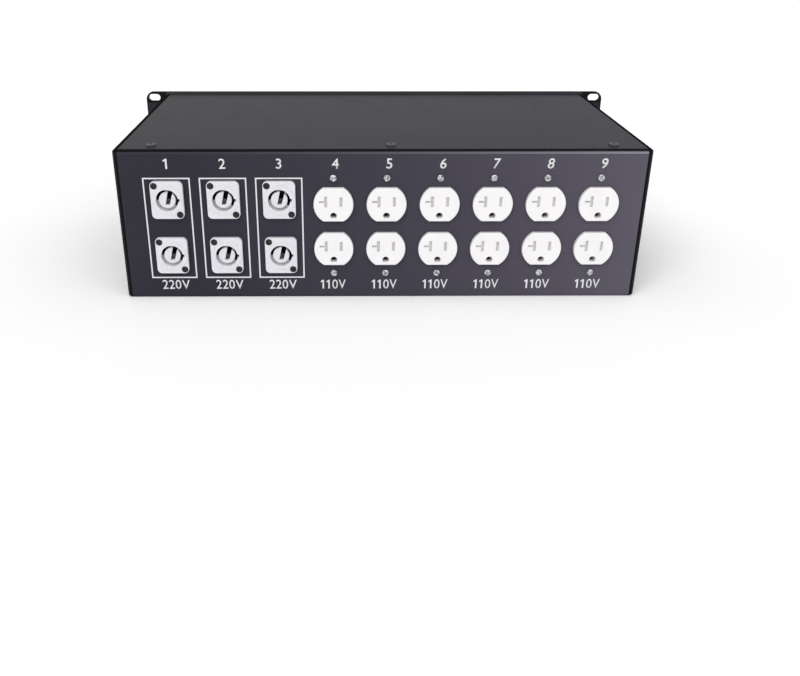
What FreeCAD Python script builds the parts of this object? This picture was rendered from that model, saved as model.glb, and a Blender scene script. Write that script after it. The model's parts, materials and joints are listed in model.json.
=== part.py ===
import FreeCAD, Part
import math
import os

Vec = FreeCAD.Vector

# Frame: millimetres, +Z up, the front panel faces -Y, the origin is the middle of the tray's underside.

# Enclosure
RACK_WIDTH = 482.6
PANEL_HEIGHT = 132.5
PANEL_THICK = 3.0
PANEL_CORNER = 8.0
BODY_WIDTH = 440.0
BODY_HEIGHT = 130.0
BODY_DEPTH = 242.0
SHEET = 1.5
BEND = 2.5
SHEET_GAP = 0.3
COVER_FOOT_CORNER = 4.0
LIP_HEIGHT = 14.0
SIDE_LIP_HEIGHT = 12.0
RETURN_FLANGE = 20.0

# Rack slots and ear screws
RACK_SLOT_SPAN = 465.1
RACK_SLOT_RISE = 120.65
RACK_SLOT_LENGTH = 12.0
RACK_SLOT_WIDTH = 7.0
EAR_SCREW_SPAN = 463.0
EAR_SCREW_RISE = 101.0
BRACKET_THICK = 2.0
BRACKET_LEG = 19.5
BRACKET_DEPTH = 24.0
BRACKET_HEIGHT = 110.0
BRACKET_SCREW_RISE = 70.0
BRACKET_SCREW_SETBACK = 14.0

# Cover screws: three along the lid's rear edge and two low on each side
LID_SCREW_X = (-190.5, -6.5, 190.5)
LID_SCREW_SETBACK = 12.0
SIDE_SCREW_Y = 85.0
SIDE_SCREW_Z = 7.0

# Screws: head and shank radii, and lengths from the head's seat
M3_HEAD = 2.8
M3_SHANK = 1.45
M4_HEAD = 3.6
M4_SHANK = 1.95
HEAD_HEIGHT = 2.0
HEAD_CROWN = 0.45
COVER_HEAD = 4.2
COVER_HEAD_HEIGHT = 1.6
COVER_SCREW_LENGTH = 6.0
PANEL_SCREW_LENGTH = 9.0
OUTLET_SCREW_LENGTH = 8.0
DUPLEX_SCREW_HEAD = 2.9
DUPLEX_SCREW_SHANK = 1.75
DUPLEX_SCREW_TURN = 67.0
INLET_SCREW_HEAD = 3.0
INLET_SCREW_LENGTH = 10.0
HOLE_CLEARANCE = 0.1
FIT = 0.05

# Edge radii of the mouldings
EDGE_TINY = 0.4
EDGE_SMALL = 0.6
EDGE_LARGE = 1.0

# Round locking outlets, two rows of three
LOCKING_X = (178.6, 132.2, 86.0)
LOCKING_MID_Z = 63.7
LOCKING_HALF_RISE = 24.3
LOCKING_FLANGE_W = 27.0
LOCKING_FLANGE_H = 31.8
LOCKING_FLANGE_T = 3.4
LOCKING_CORNER = 4.0
LOCKING_BOSS_R = 12.4
LOCKING_BOSS_T = 0.4
LOCKING_BARREL_R = 11.6
LOCKING_BARREL_L = 27.0
LOCKING_BORE_R = 9.25
LOCKING_GROOVE_FLOOR = -0.6
LOCKING_SLOT_DEPTH = 20.0
LOCKING_SLOT_ANGLES = ((106.0, 184.0), (-38.0, 40.0))
LOCKING_CORE_R = 6.9
LOCKING_CORE_TOP = 2.2
LOCKING_SCREW_OFFSET = (10.0, 12.2)
LOCKING_KEY_TAIL = (1.8, -4.0)
LOCKING_KEY_TAIL_DEPTH = 4.6
LOCKING_KEY_MOUTH = (0.7, 5.0)
LOCKING_KEY_DEPTH = 13.0
LOCKING_NOTCH_HALF = 1.4
LOCKING_NOTCH_REACH = 1.3
LOCKING_NOTCH_DEPTH = 4.0
LOCKING_TAB_REACH = 36.0
LOCKING_TAB_ROOT = 15.0
LOCKING_TAB_T = 0.8
LOCKING_TAB_W = 4.8
LOCKING_HOT_X = 5.0
LOCKING_HOT_RISE = -1.0
LOCKING_GROUND_RISE = -5.0

# Duplex outlets
DUPLEX_FIRST_X = 41.1
DUPLEX_PITCH = 44.2
DUPLEX_COUNT = 6
DUPLEX_Z = 64.5
LOBE_R = 16.6
LOBE_HALF_HEIGHT = 14.3
LOBE_RISE = 19.45
LOBE_PROUD = 3.7
LOBE_GAP = 0.35
DUPLEX_SCREW_RISE = 41.65
DUPLEX_BODY_W = 33.4
DUPLEX_BODY_H = 69.4
DUPLEX_BODY_DEPTH = 27.0
STRAP_T = 1.5
STRAP_W = 10.0
STRAP_TAB_W = 24.0
STRAP_TAB_END = 53.0
STRAP_TAB_CORNER = 3.0
SLOT_X = 6.35
SLOT_RISE = 2.7
SLOT_W = 2.4
SLOT_H = 9.2
HOT_SLOT_H = 8.0
T_BRANCH = 5.6
T_BRANCH_W = 1.7
SHUTTER_DROP = 1.5
SHUTTER_T = 1.0
GROUND_DROP = 9.3
GROUND_R = 2.8
GROUND_FLAT = 2.0
SOCKET_DEPTH = 14.0
LEAF_TOP = -3.0
LEAF_T = 0.4
LEAF_HALF = 3.4
GROUND_LEAF_HALF = 1.4

# Breakers
POLE_PITCH = 18.0
POLE_COUNTS = (2, 2, 2, 1, 1, 1, 1, 1, 1)
BREAKER_LEFT = -189.0
BREAKER_Z = 64.25
BREAKER_SIDE_GAP = 0.3
NOSE_PROUD = 1.5
NOSE_HEIGHT = 45.5
SHOULDER_DEPTH = 6.0
SHOULDER_HEIGHT = 80.0
CASE_DEPTH = 46.0
RAIL_DEPTH = 56.0
HOOK_HALF = 21.5
HOOK_END = 60.5
HOOK_GRIP = 2.0
RAIL_CLEARANCE = 0.2
WINDOW_LOW = 40.3
WINDOW_HIGH = 88.6
TERMINAL_DEPTH = 28.0
TERMINAL_HOLE = 7.0
TERMINAL_REACH = 10.0
WELL_R = 3.2
WELL_DEPTH = 9.0
WELL_SETBACK = 6.0
WELL_SCREW_R = 3.0
WELL_SCREW_HEIGHT = 3.0
DRIVER_SLOT = 0.9
DRIVER_SLOT_DEPTH = 1.0
LABEL_HEIGHT = 6.7
LABEL_PROUD = 5.3
LABEL_RECESS = 1.2
LABEL_THICK = 0.9
LABEL_END_BLOCK = 3.6
LABEL_LOW_SHARE = 0.45
LABEL_MARGIN = 0.6

# Toggles: the pivot sits behind the panel's face, the lever hangs down when off
PIVOT_DEPTH = 4.0
PIVOT_Z = 59.0
BARREL_R = 8.0
BARREL_W = 9.6
LEVER_W = 8.8
LEVER_REACH = 13.2
LEVER_ROOT_HALF = 2.4
LEVER_TIP_HALF = 1.7
LEVER_TIP_ROUND = 1.2
LEVER_REST_ANGLE = 42.0
POCKET_W = 10.4
POCKET_GAP = 0.45
PIN_R = 2.0
PIN_LENGTH = 2.2
PIN_CLEARANCE = 0.06

# Flanged inlet
INLET_X = 93.0
INLET_Z = 63.5
INLET_FLANGE_R = 40.0
INLET_FLANGE_T = 3.5
INLET_BORE_R = 25.5
INLET_CUP_R = 27.5
INLET_CUP_DEPTH = 28.0
INLET_FLOOR_DEPTH = 20.5
INLET_BASE_DEPTH = 52.0
INLET_CORE_R = 19.2
INLET_CORE_DEPTH = 15.0
INLET_SCREW_R = 34.0
INLET_FLANGE_ROUND = 1.6
INLET_MOUTH_BEVEL = 1.0
BLADE_R = 16.0
BLADE_T = 1.7
BLADE_HALF_ANGLE = 14.0
BLADE_TIP_DEPTH = 5.0
BLADE_ROOT_DEPTH = 32.0
BLADE_ANGLES = (40.0, 130.0, 220.0, 310.0)
FOOT_REACH = 4.5
FOOT_INSET_ANGLE = 3.0
TERMINAL_OFFSET = 10.0
FEED_HOLE_R = 3.0
FEED_HOLE_DEPTH = 6.0
FEED_IN_HOLE = 5.0

# Panel meters
METER_X = 175.0
METER_Z = {"x": 90.3, "y": 36.3}
BEZEL_W = 70.0
BEZEL_H = 36.8
BEZEL_PROUD = 4.2
BEZEL_CORNER = 2.0
METER_BODY_W = 64.4
METER_BODY_H = 33.6
METER_BODY_DEPTH = 30.0
METER_WALL = 1.6
GLASS_W = 46.0
GLASS_H = 25.6
GLASS_FLARE = 2.6
GLASS_RIM = 2.0
GLASS_T = 1.2
GLASS_OVERLAP = 2.0
DISPLAY_OVERLAP = 1.6
DISPLAY_T = 2.8
POST_LENGTH = 4.0
POST_W = 3.0
POST_SPAN = 40.0
POST_RISE = 18.0
BOARD_T = 1.6
BOARD_INSET = 3.0
STEM_W = 8.0

# Rail, busbars and terminal bars
RAIL_LEFT = -208.0
RAIL_RIGHT = 42.0
RAIL_LIP_HALF = 17.5
RAIL_HAT_HALF = 13.5
RAIL_T = 1.0
RAIL_HAT_DEPTH = 7.5
RAIL_BRACKET_X = (-200.0, 31.0)
RAIL_BRACKET_W = 14.0
RAIL_BRACKET_FOOT = 20.0
BUS_Z = 111.5
BUS_HEIGHT = 10.0
BUS_T = 2.0
BUS_END = 36.0
BUS_Y = {"x": -104.0, "y": -88.0}
TOOTH_HALF = 1.5
BUS_OVERHANG = 6.0
BAR_Y = (-60.0, -48.0)
BAR_HEIGHT = 10.0
NEUTRAL_BAR_X = (40.0, 126.0)
NEUTRAL_BAR_LIFT = 8.0
GROUND_BAR_X = (138.0, 214.0)
BAR_SCREW_R = 2.2
BAR_SCREW_HEIGHT = 1.8
BAR_HOLE_DEPTH = 6.0
FOOT_LENGTH = 12.0
FOOT_OVERHANG = 2.0
SENSOR_R = 12.0
SENSOR_HOLE_R = 2.65
SENSOR_ROUND = 2.0
SENSOR_HALF = 5.0
SENSOR_X = {"x": 70.0, "y": 55.0}

# Wiring
WIRE_R = 1.6
FEED_R = 2.6
WIRE_BEND = 8.0
WIRE_IN_BAR = 5.0
FEED_BEND = 12.0
FEED_RISE_Y = {"x": -58.0, "y": -46.0}
TAB_WIRE_RISE = 0.4
FEED_LANDING = 6.0
LINE_FLOOR_Z = 7.0
LINE_CROSS_Z = 22.0
LINE_LANE_Y = -40.0
LINE_LANE_PITCH = 4.0
NEUTRAL_LANE_Y = 10.0
NEUTRAL_LANE_PITCH = 5.0
NEUTRAL_FIRST_X = 47.0
NEUTRAL_PITCH = 14.0
GROUND_LANE_Y = 40.0
GROUND_LANE_PITCH = 3.5
GROUND_FIRST_X = 154.0
GROUND_PITCH = 7.0
BACK_WIRE_X = 8.0
BACK_WIRE_Z = 72.0
STRAP_WIRE_Z = 50.0
JUMPER_Y = 76.0
JUMPER_DROP = 2.9
GROUND_WIRE_X = 1.7

FRONT = -BODY_DEPTH / 2 - PANEL_THICK
PANEL_BACK = -BODY_DEPTH / 2
REAR = BODY_DEPTH / 2
PANEL_MID_Z = PANEL_HEIGHT / 2
TRAY_HALF = BODY_WIDTH / 2 - SHEET - SHEET_GAP
TRAY_TOP = BODY_HEIGHT - SHEET - SHEET_GAP
DUPLEX_X = [DUPLEX_FIRST_X - DUPLEX_PITCH * i for i in range(DUPLEX_COUNT)]
LOCKING_Z = (LOCKING_MID_Z + LOCKING_HALF_RISE, LOCKING_MID_Z - LOCKING_HALF_RISE)
POLE_X = [BREAKER_LEFT + POLE_PITCH * (i + 0.5) for i in range(sum(POLE_COUNTS))]
TERMINAL_Y = FRONT + TERMINAL_DEPTH


def box(x, y, z):
    """A block from the (low, high) pair on each axis."""
    return Part.makeBox(x[1] - x[0], y[1] - y[0], z[1] - z[0], Vec(x[0], y[0], z[0]))


def centred(width, height, low, high):
    """A block centred on the local outward axis, between two depths."""
    return box((-width / 2, width / 2), (-height / 2, height / 2), (low, high))


def rod(radius, low, high, x=0.0, y=0.0):
    """A cylinder along the local outward axis."""
    return Part.makeCylinder(radius, high - low, Vec(x, y, low))


def cross_rod(radius, low, high, y, z):
    """A cylinder along X."""
    return Part.makeCylinder(radius, high - low, Vec(low, y, z), Vec(1, 0, 0))


def prism(corners, along):
    """A polygon given by its corners, pushed along a vector."""
    return Part.Face(Part.makePolygon(corners + corners[:1])).extrude(along)


def is_along(edge, axis):
    """True for a straight edge along the axis."""
    if edge.Curve.TypeId != "Part::GeomLine":
        return False
    return abs(edge.tangentAt(edge.FirstParameter).dot(axis)) > 0.999


def rounded(shape, radius, chosen):
    """The shape with the chosen edges filleted."""
    return shape.makeFillet(radius, [edge for edge in shape.Edges if chosen(edge)])


def rounded_plate(width, height, corner, low, high):
    """A plate with four rounded corners, between two depths."""
    return rounded(centred(width, height, low, high), corner, lambda edge: is_along(edge, Vec(0, 0, 1)))


def placed(shape, frame):
    """A copy carried from its own frame into another."""
    moved = shape.copy()
    moved.Placement = frame.multiply(shape.Placement)
    return moved


def on_front(shape, x, z):
    """Places a piece drawn as (right, up, outward) on the front panel's face."""
    turn = FreeCAD.Matrix(1, 0, 0, x, 0, 0, -1, FRONT, 0, 1, 0, z, 0, 0, 0, 1)
    return placed(shape, FreeCAD.Placement(turn))


def on_rear(shape, x, z):
    """Places a piece drawn as (right, up, outward), seen from behind, on the rear wall's face."""
    turn = FreeCAD.Matrix(-1, 0, 0, x, 0, 0, 1, REAR, 0, 1, 0, z, 0, 0, 0, 1)
    return placed(shape, FreeCAD.Placement(turn))


def aimed(shape, place, outward):
    """Places a piece drawn along +Z so that +Z points outward at the place."""
    return placed(shape, FreeCAD.Placement(place, FreeCAD.Rotation(Vec(0, 0, 1), outward)))


def cross_recess(radius, depth):
    """The cross that a screwdriver bit fits."""
    arm = radius * 0.62
    slot = radius * 0.16
    across = box((-arm, arm), (-slot, slot), (-depth, depth))
    upright = box((-slot, slot), (-arm, arm), (-depth, depth))
    return across.fuse(upright)


def countersunk_screw(head, shank, length):
    """A flat-head screw, its head's top at z = 0."""
    sink = head - shank
    cone = Part.makeCone(shank, head, sink, Vec(0, 0, -sink))
    return cone.fuse(rod(shank, -length, -sink)).cut(cross_recess(head, sink * 0.6))


def round_head(head, shank, length, height):
    """A screw with a rounded head and no recess, seated at z = 0."""
    top = rounded(rod(head, 0, height), height * HEAD_CROWN, lambda edge: edge.CenterOfMass.z > height * 0.9)
    return top.fuse(rod(shank, -length, 0))


def pan_screw(head, shank, length, height):
    """A pan-head screw with a cross recess."""
    recess = cross_recess(head, height * HEAD_CROWN)
    recess.translate(Vec(0, 0, height))
    return round_head(head, shank, length, height).cut(recess)


def slotted_screw(head, shank, length, turn):
    """A round-head screw with one slot, left at a turn from upright."""
    slot = centred(DRIVER_SLOT, 2 * head, HEAD_HEIGHT - DRIVER_SLOT_DEPTH, HEAD_HEIGHT)
    slot.rotate(Vec(0, 0, 0), Vec(0, 0, 1), turn)
    return round_head(head, shank, length, HEAD_HEIGHT).cut(slot)


def countersunk_hole(head, shank, depth):
    """The hole that a flat-head screw drops into."""
    sink = head - shank
    clear = shank + HOLE_CLEARANCE
    return Part.makeCone(clear, head + HOLE_CLEARANCE, sink, Vec(0, 0, -sink)).fuse(rod(clear, -depth, -sink))


def pairs(span, rise, mid_z):
    """The four corners of a rectangle of holes."""
    return [(x, mid_z + z) for x in (-span / 2, span / 2) for z in (-rise / 2, rise / 2)]


def cover_screw_places():
    """Where a screw enters the cover, and which way its head faces."""
    rear_row = REAR - LID_SCREW_SETBACK
    places = [(Vec(x, rear_row, BODY_HEIGHT), Vec(0, 0, 1)) for x in LID_SCREW_X]
    for side in (-1, 1):
        for y in (-SIDE_SCREW_Y, SIDE_SCREW_Y):
            places.append((Vec(side * BODY_WIDTH / 2, y, SIDE_SCREW_Z), Vec(side, 0, 0)))
    return places


def lobe(grow, low, high):
    """One round outlet face with flat top and bottom."""
    disc = rod(LOBE_R + grow, low, high)
    half = LOBE_HALF_HEIGHT + grow
    return disc.common(centred(4 * LOBE_R, 2 * half, low, high))


def raised(shape, height):
    """A copy moved up in the local frame."""
    moved = shape.copy()
    moved.translate(Vec(0, height, 0))
    return moved


def front_panel():
    """Rack panel with its slots and windows."""
    plate = rounded_plate(RACK_WIDTH, PANEL_HEIGHT, PANEL_CORNER, -PANEL_THICK, 0)
    holes = []
    slot = rounded_plate(RACK_SLOT_LENGTH, RACK_SLOT_WIDTH, RACK_SLOT_WIDTH / 2 - 0.001, -PANEL_THICK, 0)
    for x, z in pairs(RACK_SLOT_SPAN, RACK_SLOT_RISE, 0):
        holes.append(slot.translated(Vec(x, z, 0)))
    for x, z in pairs(EAR_SCREW_SPAN, EAR_SCREW_RISE, 0):
        holes.append(rod(M4_SHANK + HOLE_CLEARANCE, -PANEL_THICK, 0, x, z))
    window_right = BREAKER_LEFT + POLE_PITCH * len(POLE_X)
    window_z = (WINDOW_LOW - PANEL_MID_Z, WINDOW_HIGH - PANEL_MID_Z)
    holes.append(box((BREAKER_LEFT - SHEET_GAP, window_right + SHEET_GAP), window_z, (-PANEL_THICK, 0)))
    inlet_z = INLET_Z - PANEL_MID_Z
    holes.append(rod(INLET_CUP_R + SHEET_GAP, -PANEL_THICK, 0, INLET_X, inlet_z))
    for x, z in inlet_screw_places():
        holes.append(rod(M4_SHANK + HOLE_CLEARANCE, -PANEL_THICK, 0, INLET_X + x, inlet_z + z))
    for z in METER_Z.values():
        cutout = centred(METER_BODY_W + 2 * SHEET_GAP, METER_BODY_H + 2 * SHEET_GAP, -PANEL_THICK, 0)
        holes.append(cutout.translated(Vec(METER_X, z - PANEL_MID_Z, 0)))
    return on_front(plate.cut(holes), 0, PANEL_MID_Z)


def rear_wall_holes():
    """Everything cut from the tray's rear wall."""
    holes = []
    for x in LOCKING_X:
        for z in LOCKING_Z:
            holes.append(on_rear(rod(LOCKING_BARREL_R + SHEET_GAP, -SHEET, 0), x, z))
            for side in (-1, 1):
                right, up = LOCKING_SCREW_OFFSET
                hole = rod(M3_SHANK + HOLE_CLEARANCE, -SHEET, 0, side * right, -side * up)
                holes.append(on_rear(hole, x, z))
    for x in DUPLEX_X:
        for side in (-1, 1):
            holes.append(on_rear(raised(lobe(LOBE_GAP, -SHEET, 0), side * LOBE_RISE), x, DUPLEX_Z))
            hole = rod(M4_SHANK + HOLE_CLEARANCE, -SHEET, 0, 0, side * DUPLEX_SCREW_RISE)
            holes.append(on_rear(hole, x, DUPLEX_Z))
    return holes


def cover_screw_holes():
    """Holes through the cover and the tray's flanges for the cover's screws."""
    hole = rod(M4_SHANK + HOLE_CLEARANCE, -COVER_SCREW_LENGTH, 0)
    return [aimed(hole, place, outward) for place, outward in cover_screw_places()]


def base_tray():
    """Floor, rear wall with a return flange, front lip and side lips, folded from one sheet."""
    outer = [(PANEL_BACK, 0), (REAR, 0), (REAR, TRAY_TOP)]
    inner = [(REAR - SHEET, TRAY_TOP - SHEET), (REAR - SHEET, SHEET), (PANEL_BACK + SHEET, SHEET)]
    flange_edge = [(REAR - RETURN_FLANGE, TRAY_TOP), (REAR - RETURN_FLANGE, TRAY_TOP - SHEET)]
    lip_edge = [(PANEL_BACK + SHEET, LIP_HEIGHT), (PANEL_BACK, LIP_HEIGHT)]
    outline = outer + flange_edge + inner + lip_edge
    tray = prism([Vec(-TRAY_HALF, y, z) for y, z in outline], Vec(2 * TRAY_HALF, 0, 0))

    def at(places):
        def chosen(edge):
            middle = edge.CenterOfMass
            near = any(abs(middle.y - y) + abs(middle.z - z) < 0.01 for y, z in places)
            return near and is_along(edge, Vec(1, 0, 0))
        return chosen

    tray = rounded(tray, BEND, at(outer))
    tray = rounded(tray, BEND - SHEET, at(inner))
    lip_end = REAR - 2 * BEND
    for side in (-1, 1):
        inside, outside = sorted((side * TRAY_HALF, side * (TRAY_HALF - SHEET)))
        tray = tray.fuse(box((inside, outside), (-lip_end, lip_end), (SHEET / 2, SIDE_LIP_HEIGHT)))
    return tray.cut(rear_wall_holes() + cover_screw_holes())


def top_cover():
    """Lid and two sides bent from one sheet, with a lip behind the front panel."""
    half = BODY_WIDTH / 2
    foot = SHEET_GAP

    def top_bend(edge):
        return is_along(edge, Vec(0, 1, 0)) and edge.CenterOfMass.z > foot + 1

    def foot_corner(edge):
        middle = edge.CenterOfMass
        return is_along(edge, Vec(1, 0, 0)) and middle.y > REAR - 1 and middle.z < foot + 1

    shell = box((-half, half), (PANEL_BACK, REAR), (foot, BODY_HEIGHT))
    shell = rounded(shell, BEND, top_bend)
    shell = rounded(shell, COVER_FOOT_CORNER, foot_corner)
    inside = half - SHEET
    hollow = box((-inside, inside), (PANEL_BACK, REAR), (0, BODY_HEIGHT - SHEET))
    cover = shell.cut(rounded(hollow, BEND - SHEET, top_bend))
    lip_half = inside - 2 * BEND
    lip_low = BODY_HEIGHT - SHEET - LIP_HEIGHT
    lip_depth = (PANEL_BACK, PANEL_BACK + SHEET)
    cover = cover.fuse(box((-lip_half, lip_half), lip_depth, (lip_low, BODY_HEIGHT - SHEET / 2)))
    holes = cover_screw_holes()
    through = rod(M4_SHANK + HOLE_CLEARANCE, -2 * SHEET, 0)
    for x, z in pairs(BODY_WIDTH, BRACKET_SCREW_RISE, PANEL_MID_Z):
        holes.append(aimed(through, Vec(x, bracket_screw_y(), z), Vec(math.copysign(1, x), 0, 0)))
    return cover.cut(holes)


def bracket_screw_y():
    """Depth of the screws that hold the ear brackets to the cover."""
    return PANEL_BACK + BRACKET_SCREW_SETBACK


def ear_bracket(side):
    """Angle behind one ear, its long leg on the cover's side."""
    inner = BODY_WIDTH / 2
    bend_x = inner + BRACKET_THICK
    bend_y = PANEL_BACK + BRACKET_THICK
    short_end = inner + BRACKET_LEG
    long_end = PANEL_BACK + BRACKET_DEPTH
    outline = [(inner, PANEL_BACK), (short_end, PANEL_BACK), (short_end, bend_y),
               (bend_x, bend_y), (bend_x, long_end), (inner, long_end)]
    low = PANEL_MID_Z - BRACKET_HEIGHT / 2
    angle = prism([Vec(side * x, y, low) for x, y in outline], Vec(0, 0, BRACKET_HEIGHT))

    def inside_bend(edge):
        middle = edge.CenterOfMass
        at_bend = abs(abs(middle.x) - bend_x) < 0.01 and abs(middle.y - bend_y) < 0.01
        return at_bend and is_along(edge, Vec(0, 0, 1))

    angle = rounded(angle, BRACKET_THICK / 2, inside_bend)
    holes = []
    hole = rod(M4_SHANK + HOLE_CLEARANCE, -BRACKET_THICK, 0)
    for rise in (-EAR_SCREW_RISE / 2, EAR_SCREW_RISE / 2):
        place = Vec(side * EAR_SCREW_SPAN / 2, PANEL_BACK, PANEL_MID_Z + rise)
        holes.append(aimed(hole, place, Vec(0, -1, 0)))
    for rise in (-BRACKET_SCREW_RISE / 2, BRACKET_SCREW_RISE / 2):
        place = Vec(side * bend_x, bracket_screw_y(), PANEL_MID_Z + rise)
        holes.append(aimed(hole, place, Vec(side, 0, 0)))
    return angle.cut(holes)


def cover_screws():
    """Low round-head screws of the cover."""
    screw = pan_screw(COVER_HEAD, M4_SHANK, COVER_SCREW_LENGTH, COVER_HEAD_HEIGHT)
    return [aimed(screw, place, outward) for place, outward in cover_screw_places()]


def panel_screws():
    """Pan-head screws through the ears and through the brackets' side legs."""
    screw = pan_screw(M4_HEAD, M4_SHANK, PANEL_SCREW_LENGTH, HEAD_HEIGHT)
    screws = [on_front(screw, x, z) for x, z in pairs(EAR_SCREW_SPAN, EAR_SCREW_RISE, PANEL_MID_Z)]
    seat = BODY_WIDTH + 2 * BRACKET_THICK
    for x, z in pairs(seat, BRACKET_SCREW_RISE, PANEL_MID_Z):
        screws.append(aimed(screw, Vec(x, bracket_screw_y(), z), Vec(math.copysign(1, x), 0, 0)))
    return screws


def locking_tabs(grow, reach):
    """Three flat contacts of a locking outlet, from inside its core to behind it."""
    thick = LOCKING_TAB_T + 2 * grow
    wide = LOCKING_TAB_W + 2 * grow
    tabs = []
    for x in (-LOCKING_HOT_X, LOCKING_HOT_X):
        tab = centred(thick, wide, -reach, -LOCKING_TAB_ROOT)
        tabs.append(tab.translated(Vec(x, LOCKING_HOT_RISE, 0)))
    tabs.append(centred(wide, thick, -reach, -LOCKING_TAB_ROOT).translated(Vec(0, LOCKING_GROUND_RISE, 0)))
    return tabs


def locking_blade_slots():
    """The two deep stretches of the ring groove that take a plug's curved blades."""
    depth = LOCKING_SLOT_DEPTH + LOCKING_GROOVE_FLOOR
    bottom = Vec(0, 0, -LOCKING_SLOT_DEPTH)
    core = rod(LOCKING_CORE_R, -LOCKING_SLOT_DEPTH, LOCKING_GROOVE_FLOOR)
    slots = []
    for start, end in LOCKING_SLOT_ANGLES:
        wedge = Part.makeCylinder(LOCKING_BORE_R, depth, bottom, Vec(0, 0, 1), end - start)
        wedge.rotate(Vec(0, 0, 0), Vec(0, 0, 1), start)
        slots.append(wedge.cut(core))
    return slots


def locking_keyway():
    """Tapered slot from the core's rim past its middle, shallow in the tail."""
    half, low = LOCKING_KEY_TAIL
    left, right = LOCKING_KEY_MOUTH
    rim = LOCKING_CORE_R + SHEET_GAP
    outline = [(-half, low), (half, low), (right, rim), (left, rim)]
    whole = prism([Vec(x, y, -LOCKING_KEY_DEPTH) for x, y in outline],
                  Vec(0, 0, LOCKING_CORE_TOP + LOCKING_KEY_DEPTH))
    tail_floor = LOCKING_CORE_TOP - LOCKING_KEY_TAIL_DEPTH
    return whole.cut(box((-half, half), (low, 0), (-LOCKING_KEY_DEPTH, tail_floor)))


def locking_shell():
    """Flange, barrel and core of one locking outlet, moulded in one piece."""
    flange = rounded_plate(LOCKING_FLANGE_W, LOCKING_FLANGE_H, LOCKING_CORNER, 0, LOCKING_FLANGE_T)
    flange = rounded(flange, EDGE_SMALL, lambda edge: edge.BoundBox.ZMin > LOCKING_FLANGE_T - 0.01)
    top = LOCKING_FLANGE_T + LOCKING_BOSS_T
    shell = flange.fuse([rod(LOCKING_BARREL_R, -LOCKING_BARREL_L, 0), rod(LOCKING_BOSS_R, 0, top)])
    groove = rod(LOCKING_BORE_R, LOCKING_GROOVE_FLOOR, top)
    core = rod(LOCKING_CORE_R, LOCKING_GROOVE_FLOOR, LOCKING_CORE_TOP)
    core = rounded(core, EDGE_TINY, lambda edge: edge.BoundBox.ZMin > LOCKING_CORE_TOP - 0.01)
    shell = shell.cut(groove).fuse(core)
    notch_x = (LOCKING_CORE_R + SHEET_GAP, LOCKING_BORE_R + LOCKING_NOTCH_REACH)
    notch_y = (-LOCKING_NOTCH_HALF, LOCKING_NOTCH_HALF)
    notch = box(notch_x, notch_y, (-LOCKING_NOTCH_DEPTH, top))
    cuts = [locking_keyway(), notch] + locking_blade_slots() + locking_tabs(HOLE_CLEARANCE, LOCKING_BARREL_L)
    right, up = LOCKING_SCREW_OFFSET
    for side in (-1, 1):
        hole = countersunk_hole(M3_HEAD, M3_SHANK, LOCKING_FLANGE_T)
        cuts.append(hole.translated(Vec(side * right, -side * up, LOCKING_FLANGE_T)))
    return shell.cut(cuts)


def locking_pair(shell, x):
    """The two outlets inside one printed frame."""
    return [on_rear(shell, x, z) for z in LOCKING_Z]


def locking_contacts():
    """The contacts of all six locking outlets."""
    return [on_rear(tab, x, z) for x in LOCKING_X for z in LOCKING_Z
            for tab in locking_tabs(0, LOCKING_TAB_REACH)]


def locking_screws():
    """Two flat-head screws at opposite corners of each flange."""
    screw = countersunk_screw(M3_HEAD, M3_SHANK, OUTLET_SCREW_LENGTH)
    screw.translate(Vec(0, 0, LOCKING_FLANGE_T))
    right, up = LOCKING_SCREW_OFFSET
    return [on_rear(screw.translated(Vec(side * right, -side * up, 0)), x, z)
            for x in LOCKING_X for z in LOCKING_Z for side in (-1, 1)]


def blade_slots(inset, low, high):
    """T slot and straight slot of one outlet face, or what fits into them when inset."""
    half = SLOT_W / 2 - inset
    tall = SLOT_H / 2 - inset
    branch = T_BRANCH_W / 2 - inset
    hot_tall = HOT_SLOT_H / 2 - inset
    neutral = box((-SLOT_X - half, -SLOT_X + half), (SLOT_RISE - tall, SLOT_RISE + tall), (low, high))
    arm = box((-SLOT_X - T_BRANCH + inset, -SLOT_X), (SLOT_RISE - branch, SLOT_RISE + branch), (low, high))
    hot = box((SLOT_X - half, SLOT_X + half), (SLOT_RISE - hot_tall, SLOT_RISE + hot_tall), (low, high))
    return [neutral.fuse(arm), hot]


def socket_cuts():
    """Blade slots and ground hole of one outlet face."""
    low = -SOCKET_DEPTH
    ground = rod(GROUND_R, low, LOBE_PROUD, 0, -GROUND_DROP)
    above_flat = box((-GROUND_R, GROUND_R), (-GROUND_DROP - GROUND_FLAT, 0), (low, LOBE_PROUD))
    return blade_slots(0, low, LOBE_PROUD) + [ground.common(above_flat)]


def duplex_shutters():
    """Closed shutters in the blade slots of one duplex outlet."""
    top = LOBE_PROUD - SHUTTER_DROP
    plates = blade_slots(FIT, top - SHUTTER_T, top)
    return [raised(plate, side * LOBE_RISE) for side in (-1, 1) for plate in plates]


def duplex_body():
    """Moulded body of a duplex outlet, with its two faces."""
    body = centred(DUPLEX_BODY_W, DUPLEX_BODY_H, -DUPLEX_BODY_DEPTH, -SHEET - STRAP_T)
    for side in (-1, 1):
        face = lobe(0, -SHEET - STRAP_T, LOBE_PROUD)
        face = rounded(face, EDGE_LARGE, lambda edge: edge.BoundBox.ZMin > LOBE_PROUD - 0.01)
        body = body.fuse(raised(face, side * LOBE_RISE))
    cuts = [raised(cut, side * LOBE_RISE) for side in (-1, 1) for cut in socket_cuts()]
    return body.cut(cuts)


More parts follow.
